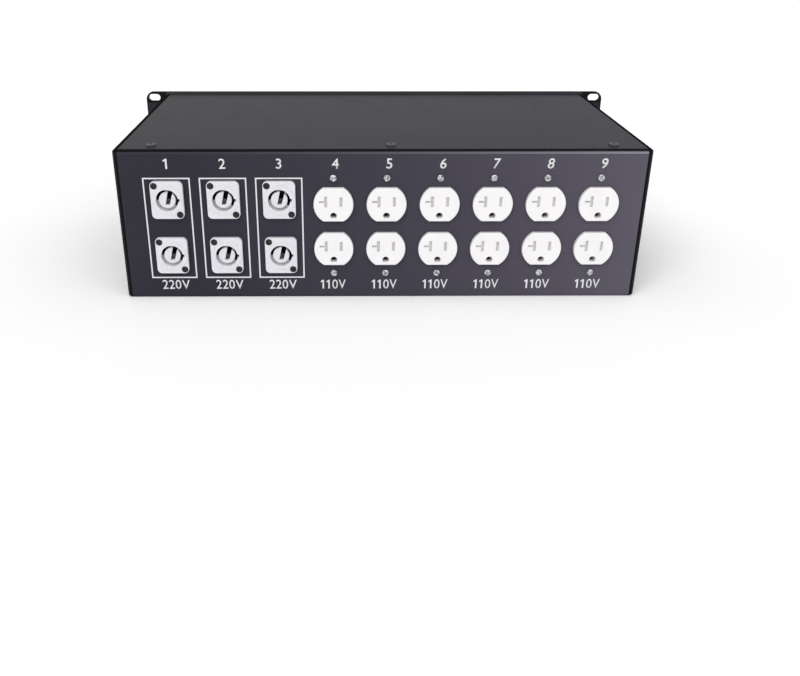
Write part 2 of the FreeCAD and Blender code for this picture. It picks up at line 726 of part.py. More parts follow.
def duplex_strap():
    """Steel strap that wraps the body and carries the two mounting tabs."""
    wall = DUPLEX_BODY_H / 2 + HOLE_CLEARANCE
    back = -DUPLEX_BODY_DEPTH - STRAP_T
    strap = centred(STRAP_W, 2 * (wall + STRAP_T), back, -DUPLEX_BODY_DEPTH)
    for side in (-1, 1):
        low, high = sorted((side * wall, side * (wall + STRAP_T)))
        leg = box((-STRAP_W / 2, STRAP_W / 2), (low, high), (back, -SHEET))
        low, high = sorted((side * wall, side * STRAP_TAB_END))
        tab = box((-STRAP_TAB_W / 2, STRAP_TAB_W / 2), (low, high), (-SHEET - STRAP_T, -SHEET))
        tab = rounded(tab, STRAP_TAB_CORNER, lambda edge: is_along(edge, Vec(0, 0, 1)))
        hole = rod(M4_SHANK + HOLE_CLEARANCE, -SHEET - STRAP_T, -SHEET, 0, side * DUPLEX_SCREW_RISE)
        strap = strap.fuse([leg, tab]).cut(hole)
    return strap


def duplex_contacts():
    """Leaf contacts of one duplex outlet: a clip for the line, single leaves for neutral and ground."""
    depth = (-SOCKET_DEPTH, LEAF_TOP)
    slot_y = (SLOT_RISE - LEAF_HALF, SLOT_RISE + LEAF_HALF)
    left = SLOT_X - SLOT_W / 2 + FIT
    right = SLOT_X + SLOT_W / 2 - FIT
    clip = box((left, left + LEAF_T), slot_y, depth)
    clip = clip.fuse(box((right - LEAF_T, right), slot_y, depth))
    clip = clip.fuse(box((left, right), slot_y, (-SOCKET_DEPTH, -SOCKET_DEPTH + LEAF_T)))
    neutral = box((-left - LEAF_T, -left), slot_y, depth)
    flat = -GROUND_DROP - GROUND_FLAT + FIT
    ground = box((-GROUND_LEAF_HALF, GROUND_LEAF_HALF), (flat, flat + LEAF_T), depth)
    return [raised(piece, side * LOBE_RISE) for side in (-1, 1) for piece in (clip, neutral, ground)]


def duplex_screws():
    """Slotted screws above and below each duplex outlet, each left at its own turn."""
    screws = []
    for x in DUPLEX_X:
        for side in (-1, 1):
            turn = DUPLEX_SCREW_TURN * len(screws)
            screw = slotted_screw(DUPLEX_SCREW_HEAD, DUPLEX_SCREW_SHANK, PANEL_SCREW_LENGTH, turn)
            screws.append(on_rear(raised(screw, side * DUPLEX_SCREW_RISE), x, DUPLEX_Z))
    return screws


def breaker_spans():
    """Each breaker's middle X and its poles' offsets from there."""
    spans = []
    first = 0
    for count in POLE_COUNTS:
        poles = POLE_X[first:first + count]
        middle = sum(poles) / count
        spans.append((middle, [x - middle for x in poles]))
        first += count
    return spans


def breaker_case(offsets):
    """Moulded case of a breaker: nose, shoulders, terminals, rail hooks and toggle pockets."""
    width = POLE_PITCH * len(offsets) - BREAKER_SIDE_GAP
    nose = NOSE_HEIGHT / 2
    tall = SHOULDER_HEIGHT / 2
    lip = RAIL_LIP_HALF + RAIL_CLEARANCE
    behind_lip = -RAIL_DEPTH - RAIL_T - RAIL_CLEARANCE
    grip = RAIL_LIP_HALF - HOOK_GRIP
    upper = [(NOSE_PROUD, nose), (-SHOULDER_DEPTH, nose), (-SHOULDER_DEPTH, tall), (-CASE_DEPTH, tall),
             (-CASE_DEPTH, HOOK_HALF), (-HOOK_END, HOOK_HALF), (-HOOK_END, grip), (behind_lip, grip),
             (behind_lip, lip), (-RAIL_DEPTH, lip)]
    outline = upper + [(out, -up) for out, up in reversed(upper)]
    case = prism([Vec(-width / 2, up, out) for out, up in outline], Vec(width, 0, 0))
    case = rounded(case, EDGE_SMALL, lambda edge: edge.BoundBox.ZMin > NOSE_PROUD - 0.01)
    half = width / 2
    foot = slope_block((-half, half), (-nose, LABEL_HEIGHT - nose), -LABEL_PROUD, 0)
    cuts = [label_plate(width, 0, LABEL_RECESS)]
    for x in offsets:
        cuts += pole_cuts(x)
    if len(offsets) > 1:
        pivot = PIVOT_Z - BREAKER_Z
        cuts.append(cross_rod(PIN_R + PIN_CLEARANCE, offsets[0], offsets[-1], pivot, -PIVOT_DEPTH))
    return case.fuse(foot).removeSplitter().cut(cuts)


def slope_block(x, up, low, high):
    """A block that follows the slope at the nose's foot, between two depths off the slope."""
    slope_top = LABEL_HEIGHT - NOSE_HEIGHT / 2
    flare = (LABEL_PROUD - NOSE_PROUD) / LABEL_HEIGHT

    def corner(height, depth):
        return Vec(x[0], height, NOSE_PROUD + (slope_top - height) * flare + depth)

    corners = [corner(up[0], low), corner(up[1], low), corner(up[1], high), corner(up[0], high)]
    return prism(corners, Vec(x[1] - x[0], 0, 0))


def label_plate(width, inset, high):
    """Label strip on the slope, lower under a block at its right end, or its recess without inset."""
    bottom = -NOSE_HEIGHT / 2
    low = -LABEL_RECESS
    left = LABEL_MARGIN + inset - width / 2
    right = width / 2 - LABEL_MARGIN - inset
    block = width / 2 - LABEL_END_BLOCK - inset
    top = bottom + LABEL_HEIGHT
    shelf = bottom + LABEL_HEIGHT * LABEL_LOW_SHARE
    whole = slope_block((left, block), (bottom + inset, top - inset), low, high)
    lower = slope_block((left, right), (bottom + inset, shelf - inset), low, high)
    return whole.fuse(lower).removeSplitter()


def pole_cuts(x):
    """Toggle pocket, pin holes, terminal openings and screw wells of one pole."""
    pivot = PIVOT_Z - BREAKER_Z
    clear = BARREL_R + POCKET_GAP
    pocket = cross_rod(clear, x - POCKET_W / 2, x + POCKET_W / 2, pivot, -PIVOT_DEPTH)
    sides = (x - POCKET_W / 2, x + POCKET_W / 2)
    mouth = box(sides, (pivot - clear, pivot + clear), (-PIVOT_DEPTH, NOSE_PROUD))
    reach = POCKET_W / 2 + PIN_LENGTH
    pin_hole = cross_rod(PIN_R + PIN_CLEARANCE, x - reach, x + reach, pivot, -PIVOT_DEPTH)
    cuts = [pocket.fuse(mouth).fuse(pin_hole)]
    half = TERMINAL_HOLE / 2
    tall = SHOULDER_HEIGHT / 2
    for side in (-1, 1):
        low, high = sorted((side * tall, side * (tall - TERMINAL_REACH)))
        depths = (-TERMINAL_DEPTH - half, -TERMINAL_DEPTH + half)
        cuts.append(box((x - half, x + half), (low, high), depths))
        well = rod(WELL_R, -SHOULDER_DEPTH - WELL_DEPTH, -SHOULDER_DEPTH, x, side * (tall - WELL_SETBACK))
        cuts.append(well)
    return cuts


def terminal_screws():
    """Clamping screws at the bottom of the breakers' wells."""
    low = -SHOULDER_DEPTH - WELL_DEPTH
    top = low + WELL_SCREW_HEIGHT
    slot = centred(DRIVER_SLOT, 2 * WELL_SCREW_R, top - DRIVER_SLOT_DEPTH, top)
    screw = rod(WELL_SCREW_R, low, top).cut(slot)
    rise = SHOULDER_HEIGHT / 2 - WELL_SETBACK
    return [on_front(raised(screw, side * rise), x, BREAKER_Z) for x in POLE_X for side in (-1, 1)]


def toggle(offsets):
    """Levers of one breaker on their barrels, on one shaft where there are two."""
    solid = None
    for x in offsets:
        barrel = cross_rod(BARREL_R, x - BARREL_W / 2, x + BARREL_W / 2, 0, 0)
        barrel = rounded(barrel, EDGE_TINY, lambda edge: edge.Curve.TypeId == "Part::GeomCircle")
        reach = BARREL_W / 2 + PIN_LENGTH
        pin = cross_rod(PIN_R, x - reach, x + reach, 0, 0)
        pieces = [pin, lever(x)]
        solid = barrel.fuse(pieces) if solid is None else solid.fuse([barrel] + pieces)
    if len(offsets) > 1:
        solid = solid.fuse(cross_rod(PIN_R, offsets[0], offsets[-1], 0, 0))
    solid.rotate(Vec(0, 0, 0), Vec(1, 0, 0), LEVER_REST_ANGLE)
    return solid.translated(Vec(0, PIVOT_Z - BREAKER_Z, -PIVOT_DEPTH))


def on_slope(edge):
    """True for the long edges of a lever's tapered faces."""
    return edge.BoundBox.XLength < 0.01 and edge.BoundBox.ZLength > LEVER_REACH / 4


def lever(x):
    """Tapered finger lever with a round tip, pointing outward."""
    root = BARREL_R * 0.6
    outline = [(-LEVER_ROOT_HALF, root), (LEVER_ROOT_HALF, root),
               (LEVER_TIP_HALF, LEVER_REACH), (-LEVER_TIP_HALF, LEVER_REACH)]
    left = x - LEVER_W / 2
    blade = prism([Vec(left, up, out) for up, out in outline], Vec(LEVER_W, 0, 0))
    blade = rounded(blade, LEVER_TIP_ROUND, lambda edge: edge.BoundBox.ZMin > LEVER_REACH - 0.01)
    return rounded(blade, EDGE_TINY, on_slope)


def inlet_screw_places():
    """Three screws round the inlet's flange, from the top."""
    angles = [math.radians(90 + 120 * i) for i in range(3)]
    return [(INLET_SCREW_R * math.cos(a), INLET_SCREW_R * math.sin(a)) for a in angles]


def inlet_flange():
    """Flange and cup wall of the inlet."""
    flange = rod(INLET_FLANGE_R, 0, INLET_FLANGE_T)
    flange = rounded(flange, INLET_FLANGE_ROUND, lambda edge: edge.BoundBox.ZMin > INLET_FLANGE_T - 0.01)
    flange = flange.fuse(rod(INLET_CUP_R, -INLET_CUP_DEPTH, 0))
    bore = rod(INLET_BORE_R, -INLET_CUP_DEPTH, INLET_FLANGE_T)
    bevel = INLET_MOUTH_BEVEL
    mouth = Part.makeCone(INLET_BORE_R, INLET_BORE_R + bevel, bevel, Vec(0, 0, INLET_FLANGE_T - bevel))
    cuts = [bore, mouth]
    for x, y in inlet_screw_places():
        hole = countersunk_hole(M4_HEAD, M4_SHANK, INLET_FLANGE_T)
        cuts.append(hole.translated(Vec(x, y, INLET_FLANGE_T)))
    return on_front(flange.cut(cuts), INLET_X, INLET_Z)


def blade_arc(angle, grow, low, high):
    """One curved blade, or its slot when grown."""
    outer = BLADE_R + BLADE_T / 2 + grow
    inner = BLADE_R - BLADE_T / 2 - grow
    spread = BLADE_HALF_ANGLE + math.degrees(grow / BLADE_R)
    ring = Part.makeCylinder(outer, high - low, Vec(0, 0, low), Vec(0, 0, 1), 2 * spread)
    ring = ring.cut(Part.makeCylinder(inner, high - low, Vec(0, 0, low), Vec(0, 0, 1), 360))
    ring.rotate(Vec(0, 0, 0), Vec(0, 0, 1), angle - spread)
    return ring


def ground_foot(angle, grow, low, high):
    """Inward foot that makes one blade an L."""
    half = BLADE_T / 2 + grow
    foot = box((BLADE_R - FOOT_REACH - grow, BLADE_R), (-half, half), (low, high))
    foot.rotate(Vec(0, 0, 0), Vec(0, 0, 1), angle + BLADE_HALF_ANGLE - FOOT_INSET_ANGLE)
    return foot


def inlet_blade_shapes(grow, low, high):
    """The four blades, the second with its foot."""
    blades = [blade_arc(angle, grow, low, high) for angle in BLADE_ANGLES]
    blades[1] = blades[1].fuse(ground_foot(BLADE_ANGLES[1], grow, low, high))
    return blades


def inlet_base():
    """Moulded base that closes the cup and holds the blades."""
    base = rod(INLET_BORE_R - FIT, -INLET_BASE_DEPTH, -INLET_FLOOR_DEPTH)
    core = rod(INLET_CORE_R, -INLET_FLOOR_DEPTH, -INLET_CORE_DEPTH)
    core = rounded(core, EDGE_LARGE, lambda edge: edge.BoundBox.ZMin > -INLET_CORE_DEPTH - 0.01)
    cuts = inlet_blade_shapes(FIT, -BLADE_ROOT_DEPTH, -INLET_CORE_DEPTH)
    for x in (-TERMINAL_OFFSET, TERMINAL_OFFSET):
        for y in (-TERMINAL_OFFSET, TERMINAL_OFFSET):
            cuts.append(rod(FEED_HOLE_R, -INLET_BASE_DEPTH, -INLET_BASE_DEPTH + FEED_HOLE_DEPTH, x, y))
    return on_front(base.fuse(core).cut(cuts), INLET_X, INLET_Z)


def inlet_blades():
    """Metal blades of the inlet."""
    blades = inlet_blade_shapes(0, -BLADE_ROOT_DEPTH, -BLADE_TIP_DEPTH)
    return [on_front(blade, INLET_X, INLET_Z) for blade in blades]


def inlet_screws():
    """Flat-head screws of the inlet's flange, sunk a little below its face."""
    screw = countersunk_screw(INLET_SCREW_HEAD, M4_SHANK, INLET_SCREW_LENGTH)
    seat = INLET_FLANGE_T - (M4_HEAD - INLET_SCREW_HEAD)
    return [on_front(screw.translated(Vec(x, y, seat)), INLET_X, INLET_Z) for x, y in inlet_screw_places()]


def rectangle(width, height, depth):
    """A closed rectangle at one depth."""
    x = width / 2
    y = height / 2
    corners = [Vec(-x, -y, depth), Vec(x, -y, depth), Vec(x, y, depth), Vec(-x, y, depth)]
    return Part.makePolygon(corners + corners[:1])


def meter_case():
    """Bezel with a sloping recess, and the open-backed case behind it."""
    bezel = rounded_plate(BEZEL_W, BEZEL_H, BEZEL_CORNER, 0, BEZEL_PROUD)
    bezel = rounded(bezel, EDGE_LARGE, lambda edge: edge.BoundBox.ZMin > BEZEL_PROUD - 0.01)
    case = bezel.fuse(centred(METER_BODY_W, METER_BODY_H, -METER_BODY_DEPTH, 0))
    inside_w = METER_BODY_W - 2 * METER_WALL
    inside_h = METER_BODY_H - 2 * METER_WALL
    cavity = centred(inside_w, inside_h, -METER_BODY_DEPTH, 0)
    opening = centred(GLASS_W, GLASS_H, 0, GLASS_RIM)
    low_edge = rectangle(GLASS_W, GLASS_H, GLASS_RIM)
    high_edge = rectangle(GLASS_W + 2 * GLASS_FLARE, GLASS_H + 2 * GLASS_FLARE, BEZEL_PROUD)
    flare = Part.makeLoft([low_edge, high_edge], True)
    return case.cut([cavity, opening, flare])


def meter_window():
    """Clear plate behind the bezel's opening."""
    return centred(GLASS_W + 2 * GLASS_OVERLAP, GLASS_H + 2 * GLASS_OVERLAP, -GLASS_T, 0)


def meter_display():
    """Display, its board on posts, and the stem to the case's back plate."""
    display_back = -GLASS_T - DISPLAY_T
    board_front = display_back - POST_LENGTH
    board_back = board_front - BOARD_T
    plate_front = -METER_BODY_DEPTH + METER_WALL
    display = centred(GLASS_W + 2 * DISPLAY_OVERLAP, GLASS_H + 2 * DISPLAY_OVERLAP, display_back, -GLASS_T)
    post = centred(POST_W, POST_W, board_front, display_back)
    posts = [post.translated(Vec(x, y, 0)) for x, y in pairs(POST_SPAN, POST_RISE, 0)]
    board = centred(METER_BODY_W - 2 * BOARD_INSET, METER_BODY_H - 2 * BOARD_INSET, board_back, board_front)
    stem = centred(STEM_W, STEM_W, plate_front, board_back)
    inset = 2 * METER_WALL + 2 * FIT
    plate = centred(METER_BODY_W - inset, METER_BODY_H - inset, -METER_BODY_DEPTH, plate_front)
    return display.fuse(posts + [board, stem, plate])


def din_rail():
    """Top-hat rail that the breakers hook onto."""
    lip = -RAIL_DEPTH
    web = lip - RAIL_HAT_DEPTH
    outer = RAIL_LIP_HALF
    hat = RAIL_HAT_HALF
    upper = [(lip, outer), (lip - RAIL_T, outer), (lip - RAIL_T, hat), (web, hat)]
    lower = [(out, -up) for out, up in reversed(upper)]
    bay = hat - RAIL_T
    inside = [(lip, -bay), (web + RAIL_T, -bay), (web + RAIL_T, bay), (lip, bay)]
    outline = upper + lower + inside
    rail = prism([Vec(RAIL_LEFT, up, out) for out, up in outline], Vec(RAIL_RIGHT - RAIL_LEFT, 0, 0))
    return on_front(rail, 0, BREAKER_Z)


def rail_brackets():
    """Bent stands that carry the rail off the tray's floor."""
    web_back = FRONT + RAIL_DEPTH + RAIL_HAT_DEPTH
    stands = []
    for x in RAIL_BRACKET_X:
        width = (x - RAIL_BRACKET_W / 2, x + RAIL_BRACKET_W / 2)
        upright = box(width, (web_back, web_back + BRACKET_THICK), (SHEET, BREAKER_Z + RAIL_HAT_HALF))
        foot = box(width, (web_back, web_back + RAIL_BRACKET_FOOT), (SHEET, SHEET + BRACKET_THICK))
        stands.append(upright.fuse(foot).removeSplitter())
    return stands


def busbar(phase, first_pole):
    """Copper comb that feeds every second pole from above."""
    y = BUS_Y[phase]
    height = (BUS_Z - BUS_HEIGHT / 2, BUS_Z + BUS_HEIGHT / 2)
    comb = box((POLE_X[0] - BUS_OVERHANG, BUS_END), (y - BUS_T / 2, y + BUS_T / 2), height)
    for x in POLE_X[first_pole::2]:
        across = (x - TOOTH_HALF, x + TOOTH_HALF)
        low, high = sorted((y, TERMINAL_Y))
        bridge = box(across, (low, high + TOOTH_HALF), (height[0], height[0] + BUS_T))
        prong_low = BREAKER_Z + SHOULDER_HEIGHT / 2 - TERMINAL_REACH + 1
        prong_y = (TERMINAL_Y - TOOTH_HALF, TERMINAL_Y + TOOTH_HALF)
        prong = box(across, prong_y, (prong_low, height[0] + BUS_T))
        comb = comb.fuse([bridge, prong])
    return comb.removeSplitter()


def terminal_bar(x, low, screw_x):
    """Brass bar with a row of wire holes and clamping screws."""
    bar = box(x, BAR_Y, (low, low + BAR_HEIGHT))
    mid = low + BAR_HEIGHT / 2
    top = low + BAR_HEIGHT
    hole = rod(WIRE_R + HOLE_CLEARANCE, -BAR_HOLE_DEPTH, 0)
    holes = [aimed(hole, Vec(place, BAR_Y[1], mid), Vec(0, 1, 0)) for place in screw_x]
    slot = centred(2 * BAR_SCREW_R, DRIVER_SLOT, BAR_SCREW_HEIGHT - DRIVER_SLOT_DEPTH, BAR_SCREW_HEIGHT)
    screw = rod(BAR_SCREW_R, 0, BAR_SCREW_HEIGHT).cut(slot)
    screws = [screw.translated(Vec(place, sum(BAR_Y) / 2, top)) for place in screw_x]
    return [bar.cut(holes)] + screws


def neutral_screw_x():
    """Places of the neutral bar's wires."""
    return [NEUTRAL_FIRST_X + NEUTRAL_PITCH * i for i in range(DUPLEX_COUNT)]


def ground_screw_x():
    """Places of the ground bar's wires."""
    return [GROUND_FIRST_X + GROUND_PITCH * i for i in range(DUPLEX_COUNT + len(LOCKING_X))]


def terminal_bars():
    """Neutral bar on its feet's height, ground bar straight on the floor."""
    neutral = terminal_bar(NEUTRAL_BAR_X, SHEET + NEUTRAL_BAR_LIFT, neutral_screw_x())
    return neutral + terminal_bar(GROUND_BAR_X, SHEET, ground_screw_x())


def bar_feet():
    """Insulating feet under the neutral bar's ends."""
    feet = []
    foot_y = (BAR_Y[0] - FOOT_OVERHANG, BAR_Y[1] + FOOT_OVERHANG)
    for x in (NEUTRAL_BAR_X[0], NEUTRAL_BAR_X[1] - FOOT_LENGTH):
        foot = box((x, x + FOOT_LENGTH), foot_y, (SHEET, SHEET + NEUTRAL_BAR_LIFT))
        feet.append(rounded(foot, EDGE_LARGE, lambda edge: is_along(edge, Vec(0, 0, 1))))
    return feet


def current_sensors():
    """Two rings that the feeds pass through."""
    rings = []
    for phase, x in SENSOR_X.items():
        ring = cross_rod(SENSOR_R, x - SENSOR_HALF, x + SENSOR_HALF, BUS_Y[phase], BUS_Z)
        ring = rounded(ring, SENSOR_ROUND, lambda edge: edge.Curve.TypeId == "Part::GeomCircle")
        bore = cross_rod(SENSOR_HOLE_R, x - SENSOR_HALF, x + SENSOR_HALF, BUS_Y[phase], BUS_Z)
        rings.append(ring.cut(bore))
    return rings


def wire(points, radius, bend):
    """A round wire along straight runs joined by tangent arcs."""
    edges = []
    start = points[0]
    for before, corner, after in zip(points, points[1:], points[2:]):
        into = corner - before
        out = after - corner
        setback = min(bend, 0.45 * into.Length, 0.45 * out.Length)
        into.normalize()
        out.normalize()
        arc_start = corner - into * setback
        arc_end = corner + out * setback
        middle = corner + (out - into) * (setback * (1 - math.sqrt(0.5)))
        edges.append(Part.LineSegment(start, arc_start).toShape())
        edges.append(Part.Arc(arc_start, middle, arc_end).toShape())
        start = arc_end
    edges.append(Part.LineSegment(start, points[-1]).toShape())
    path = Part.Wire(edges)
    heading = points[1] - points[0]
    section = Part.Wire([Part.Circle(points[0], heading, radius).toShape()])
    tube = path.makePipeShell([section], True, False)
    expected = math.pi * radius ** 2 * path.Length
    assert abs(tube.Volume / expected - 1) < 0.02, "a wire's volume is off"
    return tube


def line_wire(pole, target, end_y):
    """Branch wire from a breaker's lower terminal to an outlet, on its own lane."""
    x = POLE_X[pole]
    lane = LINE_LANE_Y + LINE_LANE_PITCH * pole
    terminal_z = BREAKER_Z - SHOULDER_HEIGHT / 2 + TERMINAL_REACH * 0.6
    target_x, target_z = target
    points = [Vec(x, TERMINAL_Y, terminal_z), Vec(x, TERMINAL_Y, LINE_FLOOR_Z), Vec(x, lane, LINE_FLOOR_Z),
              Vec(x, lane, LINE_CROSS_Z), Vec(target_x, lane, LINE_CROSS_Z), Vec(target_x, lane, target_z),
              Vec(target_x, end_y, target_z)]
    return wire(points, WIRE_R, WIRE_BEND)


def jumper(x, high, low):
    """Short wire from the upper locking outlet to the lower one."""
    tab_y = REAR - LOCKING_TAB_REACH
    points = [Vec(x, tab_y, high), Vec(x, JUMPER_Y, high), Vec(x, JUMPER_Y, low), Vec(x, tab_y, low)]
    return wire(points, WIRE_R, WIRE_BEND)


def bar_wire(start, lane, target, end_y):
    """Wire from a terminal bar along its own lane to an outlet."""
    target_x, target_z = target
    points = [start, Vec(start.x, lane, start.z), Vec(target_x, lane, start.z), Vec(target_x, lane, target_z),
              Vec(target_x, end_y, target_z)]
    return wire(points, WIRE_R, WIRE_BEND)


def inlet_terminal(right, up):
    """End of a feed inside one of the inlet's rear terminals."""
    depth = FRONT + INLET_BASE_DEPTH - FEED_IN_HOLE
    return Vec(INLET_X + right * TERMINAL_OFFSET, depth, INLET_Z + up * TERMINAL_OFFSET)


def line_feed(phase, right, rise_y):
    """Feed from the inlet through its sensor to its busbar."""
    start = inlet_terminal(right, 1)
    points = [start, Vec(start.x, rise_y, start.z), Vec(start.x, rise_y, BUS_Z),
              Vec(start.x, BUS_Y[phase], BUS_Z), Vec(BUS_END, BUS_Y[phase], BUS_Z)]
    return wire(points, FEED_R, FEED_BEND)


def line_wires(phase):
    """Feed, branch wires and jumpers of one line."""
    first_pole = 0 if phase == "x" else 1
    side = 1 if phase == "x" else -1
    wires = [line_feed(phase, side, FEED_RISE_Y[phase])]
    tab_y = REAR - LOCKING_TAB_REACH
    body_y = REAR - DUPLEX_BODY_DEPTH
    upper, lower = LOCKING_Z
    for circuit, locking_x in enumerate(LOCKING_X):
        x = locking_x + side * LOCKING_HOT_X
        wires.append(line_wire(2 * circuit + first_pole, (x, upper + TAB_WIRE_RISE), tab_y))
        wires.append(jumper(x, upper - JUMPER_DROP, lower + LOCKING_HOT_RISE))
    first_single = 2 * len(LOCKING_X)
    for i in range(first_pole, DUPLEX_COUNT, 2):
        wires.append(line_wire(first_single + i, (DUPLEX_X[i] - BACK_WIRE_X, BACK_WIRE_Z), body_y))
    return wires


def neutral_wires():
    """Neutral feed and one wire to each duplex outlet."""
    bar_top = SHEET + NEUTRAL_BAR_LIFT + BAR_HEIGHT
    bar_mid = bar_top - BAR_HEIGHT / 2
    middle_y = sum(BAR_Y) / 2
    start = inlet_terminal(-1, -1)
    feed = [start, Vec(start.x, middle_y, start.z), Vec(start.x, middle_y, bar_top)]
    wires = [wire(feed, FEED_R, FEED_BEND)]
    for i, x in enumerate(neutral_screw_x()):
        outlet_x = DUPLEX_X[DUPLEX_COUNT - 1 - i] + BACK_WIRE_X
        lane = NEUTRAL_LANE_Y + NEUTRAL_LANE_PITCH * i
        begin = Vec(x, BAR_Y[1] - WIRE_IN_BAR, bar_mid)
        wires.append(bar_wire(begin, lane, (outlet_x, BACK_WIRE_Z), REAR - DUPLEX_BODY_DEPTH))
    return wires


def ground_wires():
    """Ground feed, one wire to each duplex strap and each locking pair, and the pairs' jumpers."""
    bar_top = SHEET + BAR_HEIGHT
    bar_mid = bar_top - BAR_HEIGHT / 2
    middle_y = sum(BAR_Y) / 2
    start = inlet_terminal(1, -1)
    landing = GROUND_BAR_X[0] + FEED_LANDING
    feed = [start, Vec(start.x, middle_y, start.z), Vec(landing, middle_y, start.z),
            Vec(landing, middle_y, bar_top)]
    wires = [wire(feed, FEED_R, FEED_BEND)]
    strap_y = REAR - DUPLEX_BODY_DEPTH - STRAP_T
    tab_y = REAR - LOCKING_TAB_REACH
    upper, lower = LOCKING_Z
    targets = [((x, STRAP_WIRE_Z), strap_y) for x in reversed(DUPLEX_X)]
    targets += [((x + GROUND_WIRE_X, upper + LOCKING_GROUND_RISE), tab_y) for x in reversed(LOCKING_X)]
    for i, (x, (target, end_y)) in enumerate(zip(ground_screw_x(), targets)):
        begin = Vec(x, BAR_Y[1] - WIRE_IN_BAR, bar_mid)
        wires.append(bar_wire(begin, GROUND_LANE_Y + GROUND_LANE_PITCH * i, target, end_y))
    for x in LOCKING_X:
        wires.append(jumper(x - GROUND_WIRE_X, upper + LOCKING_GROUND_RISE, lower + LOCKING_GROUND_RISE))
    return wires


def all_nodes():
    """Every node's name with its solids."""
    nodes = {
        "front_panel": [front_panel()],
        "base_tray": [base_tray()],
        "top_cover": [top_cover()],
        "ear_bracket_left": [ear_bracket(-1)],
        "ear_bracket_right": [ear_bracket(1)],
        "cover_screws": cover_screws(),
        "panel_screws": panel_screws(),
        "locking_outlet_screws": locking_screws(),
        "locking_outlet_contacts": locking_contacts(),
        "duplex_screws": duplex_screws(),
    }
    shell = locking_shell()
    for i, x in enumerate(LOCKING_X):
        nodes[f"locking_outlets_{i + 1}"] = locking_pair(shell, x)
    body = duplex_body()
    for i, x in enumerate(DUPLEX_X):
        nodes[f"duplex_outlet_{i + 4}"] = [on_rear(body, x, DUPLEX_Z)]
    strap = duplex_strap()
    nodes["duplex_straps"] = [on_rear(strap, x, DUPLEX_Z) for x in DUPLEX_X]
    nodes["duplex_contacts"] = [on_rear(piece, x, DUPLEX_Z) for x in DUPLEX_X for piece in duplex_contacts()]
    nodes["duplex_shutters"] = [on_rear(plate, x, DUPLEX_Z) for x in DUPLEX_X for plate in duplex_shutters()]
    labels = []
    for i, (x, offsets) in enumerate(breaker_spans()):
        nodes[f"breaker_{i + 1}"] = [on_front(breaker_case(offsets), x, BREAKER_Z)]
        nodes[f"toggle_{i + 1}"] = [on_front(toggle(offsets), x, BREAKER_Z)]
        width = POLE_PITCH * len(offsets) - BREAKER_SIDE_GAP
        strip = label_plate(width, FIT, LABEL_THICK - LABEL_RECESS)
        labels.append(on_front(strip, x, BREAKER_Z))
    nodes["breaker_labels"] = labels
    nodes["breaker_terminals"] = terminal_screws()
    nodes["inlet_flange"] = [inlet_flange()]
    nodes["inlet_base"] = [inlet_base()]
    nodes["inlet_blades"] = inlet_blades()
    nodes["inlet_screws"] = inlet_screws()
    for phase, z in METER_Z.items():
        nodes[f"meter_{phase}_case"] = [on_front(meter_case(), METER_X, z)]
    nodes["meter_windows"] = [on_front(meter_window(), METER_X, z) for z in METER_Z.values()]
    nodes["meter_displays"] = [on_front(meter_display(), METER_X, z) for z in METER_Z.values()]
    nodes["din_rail"] = [din_rail()]
    nodes["rail_brackets"] = rail_brackets()
    nodes["busbars"] = [busbar("x", 0), busbar("y", 1)]
    nodes["terminal_bars"] = terminal_bars()
    nodes["bar_feet"] = bar_feet()
    nodes["current_sensors"] = current_sensors()
    nodes["wires_line_x"] = line_wires("x")
    nodes["wires_line_y"] = line_wires("y")
    nodes["wires_neutral"] = neutral_wires()
    nodes["wires_ground"] = ground_wires()
    return nodes


os.makedirs("parts", exist_ok=True)
for name, solids in all_nodes().items():
    shape = solids[0] if len(solids) == 1 else Part.makeCompound(solids)
    shape.exportStep(f"parts/{name}.step")
    print(name, len(shape.Solids), "solids, valid" if shape.isValid() else "solids, NOT valid")
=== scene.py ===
"""Looks of the rackmount power distribution box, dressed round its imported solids."""

import json
import math

import bmesh
import bpy
from mathutils import Euler, Matrix, Vector


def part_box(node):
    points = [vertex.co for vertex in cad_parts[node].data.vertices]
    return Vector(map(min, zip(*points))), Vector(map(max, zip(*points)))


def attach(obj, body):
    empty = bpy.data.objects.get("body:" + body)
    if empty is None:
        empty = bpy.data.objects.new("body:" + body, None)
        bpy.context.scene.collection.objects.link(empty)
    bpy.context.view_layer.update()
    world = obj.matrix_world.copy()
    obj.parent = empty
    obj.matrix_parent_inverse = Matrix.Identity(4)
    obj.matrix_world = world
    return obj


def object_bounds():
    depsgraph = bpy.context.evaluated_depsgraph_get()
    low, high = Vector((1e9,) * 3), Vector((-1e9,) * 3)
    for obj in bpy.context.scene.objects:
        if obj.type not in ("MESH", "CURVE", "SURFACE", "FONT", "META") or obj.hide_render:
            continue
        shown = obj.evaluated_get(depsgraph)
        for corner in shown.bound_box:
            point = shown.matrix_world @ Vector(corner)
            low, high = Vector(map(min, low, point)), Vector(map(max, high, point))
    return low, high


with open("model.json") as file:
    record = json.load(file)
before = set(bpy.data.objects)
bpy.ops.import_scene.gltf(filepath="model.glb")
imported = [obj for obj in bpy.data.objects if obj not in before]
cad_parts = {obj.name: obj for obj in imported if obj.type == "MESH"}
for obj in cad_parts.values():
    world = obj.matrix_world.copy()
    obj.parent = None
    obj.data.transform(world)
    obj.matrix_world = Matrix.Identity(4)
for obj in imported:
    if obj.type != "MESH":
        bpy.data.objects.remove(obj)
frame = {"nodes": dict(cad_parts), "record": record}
cad_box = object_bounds()

MM = 0.001

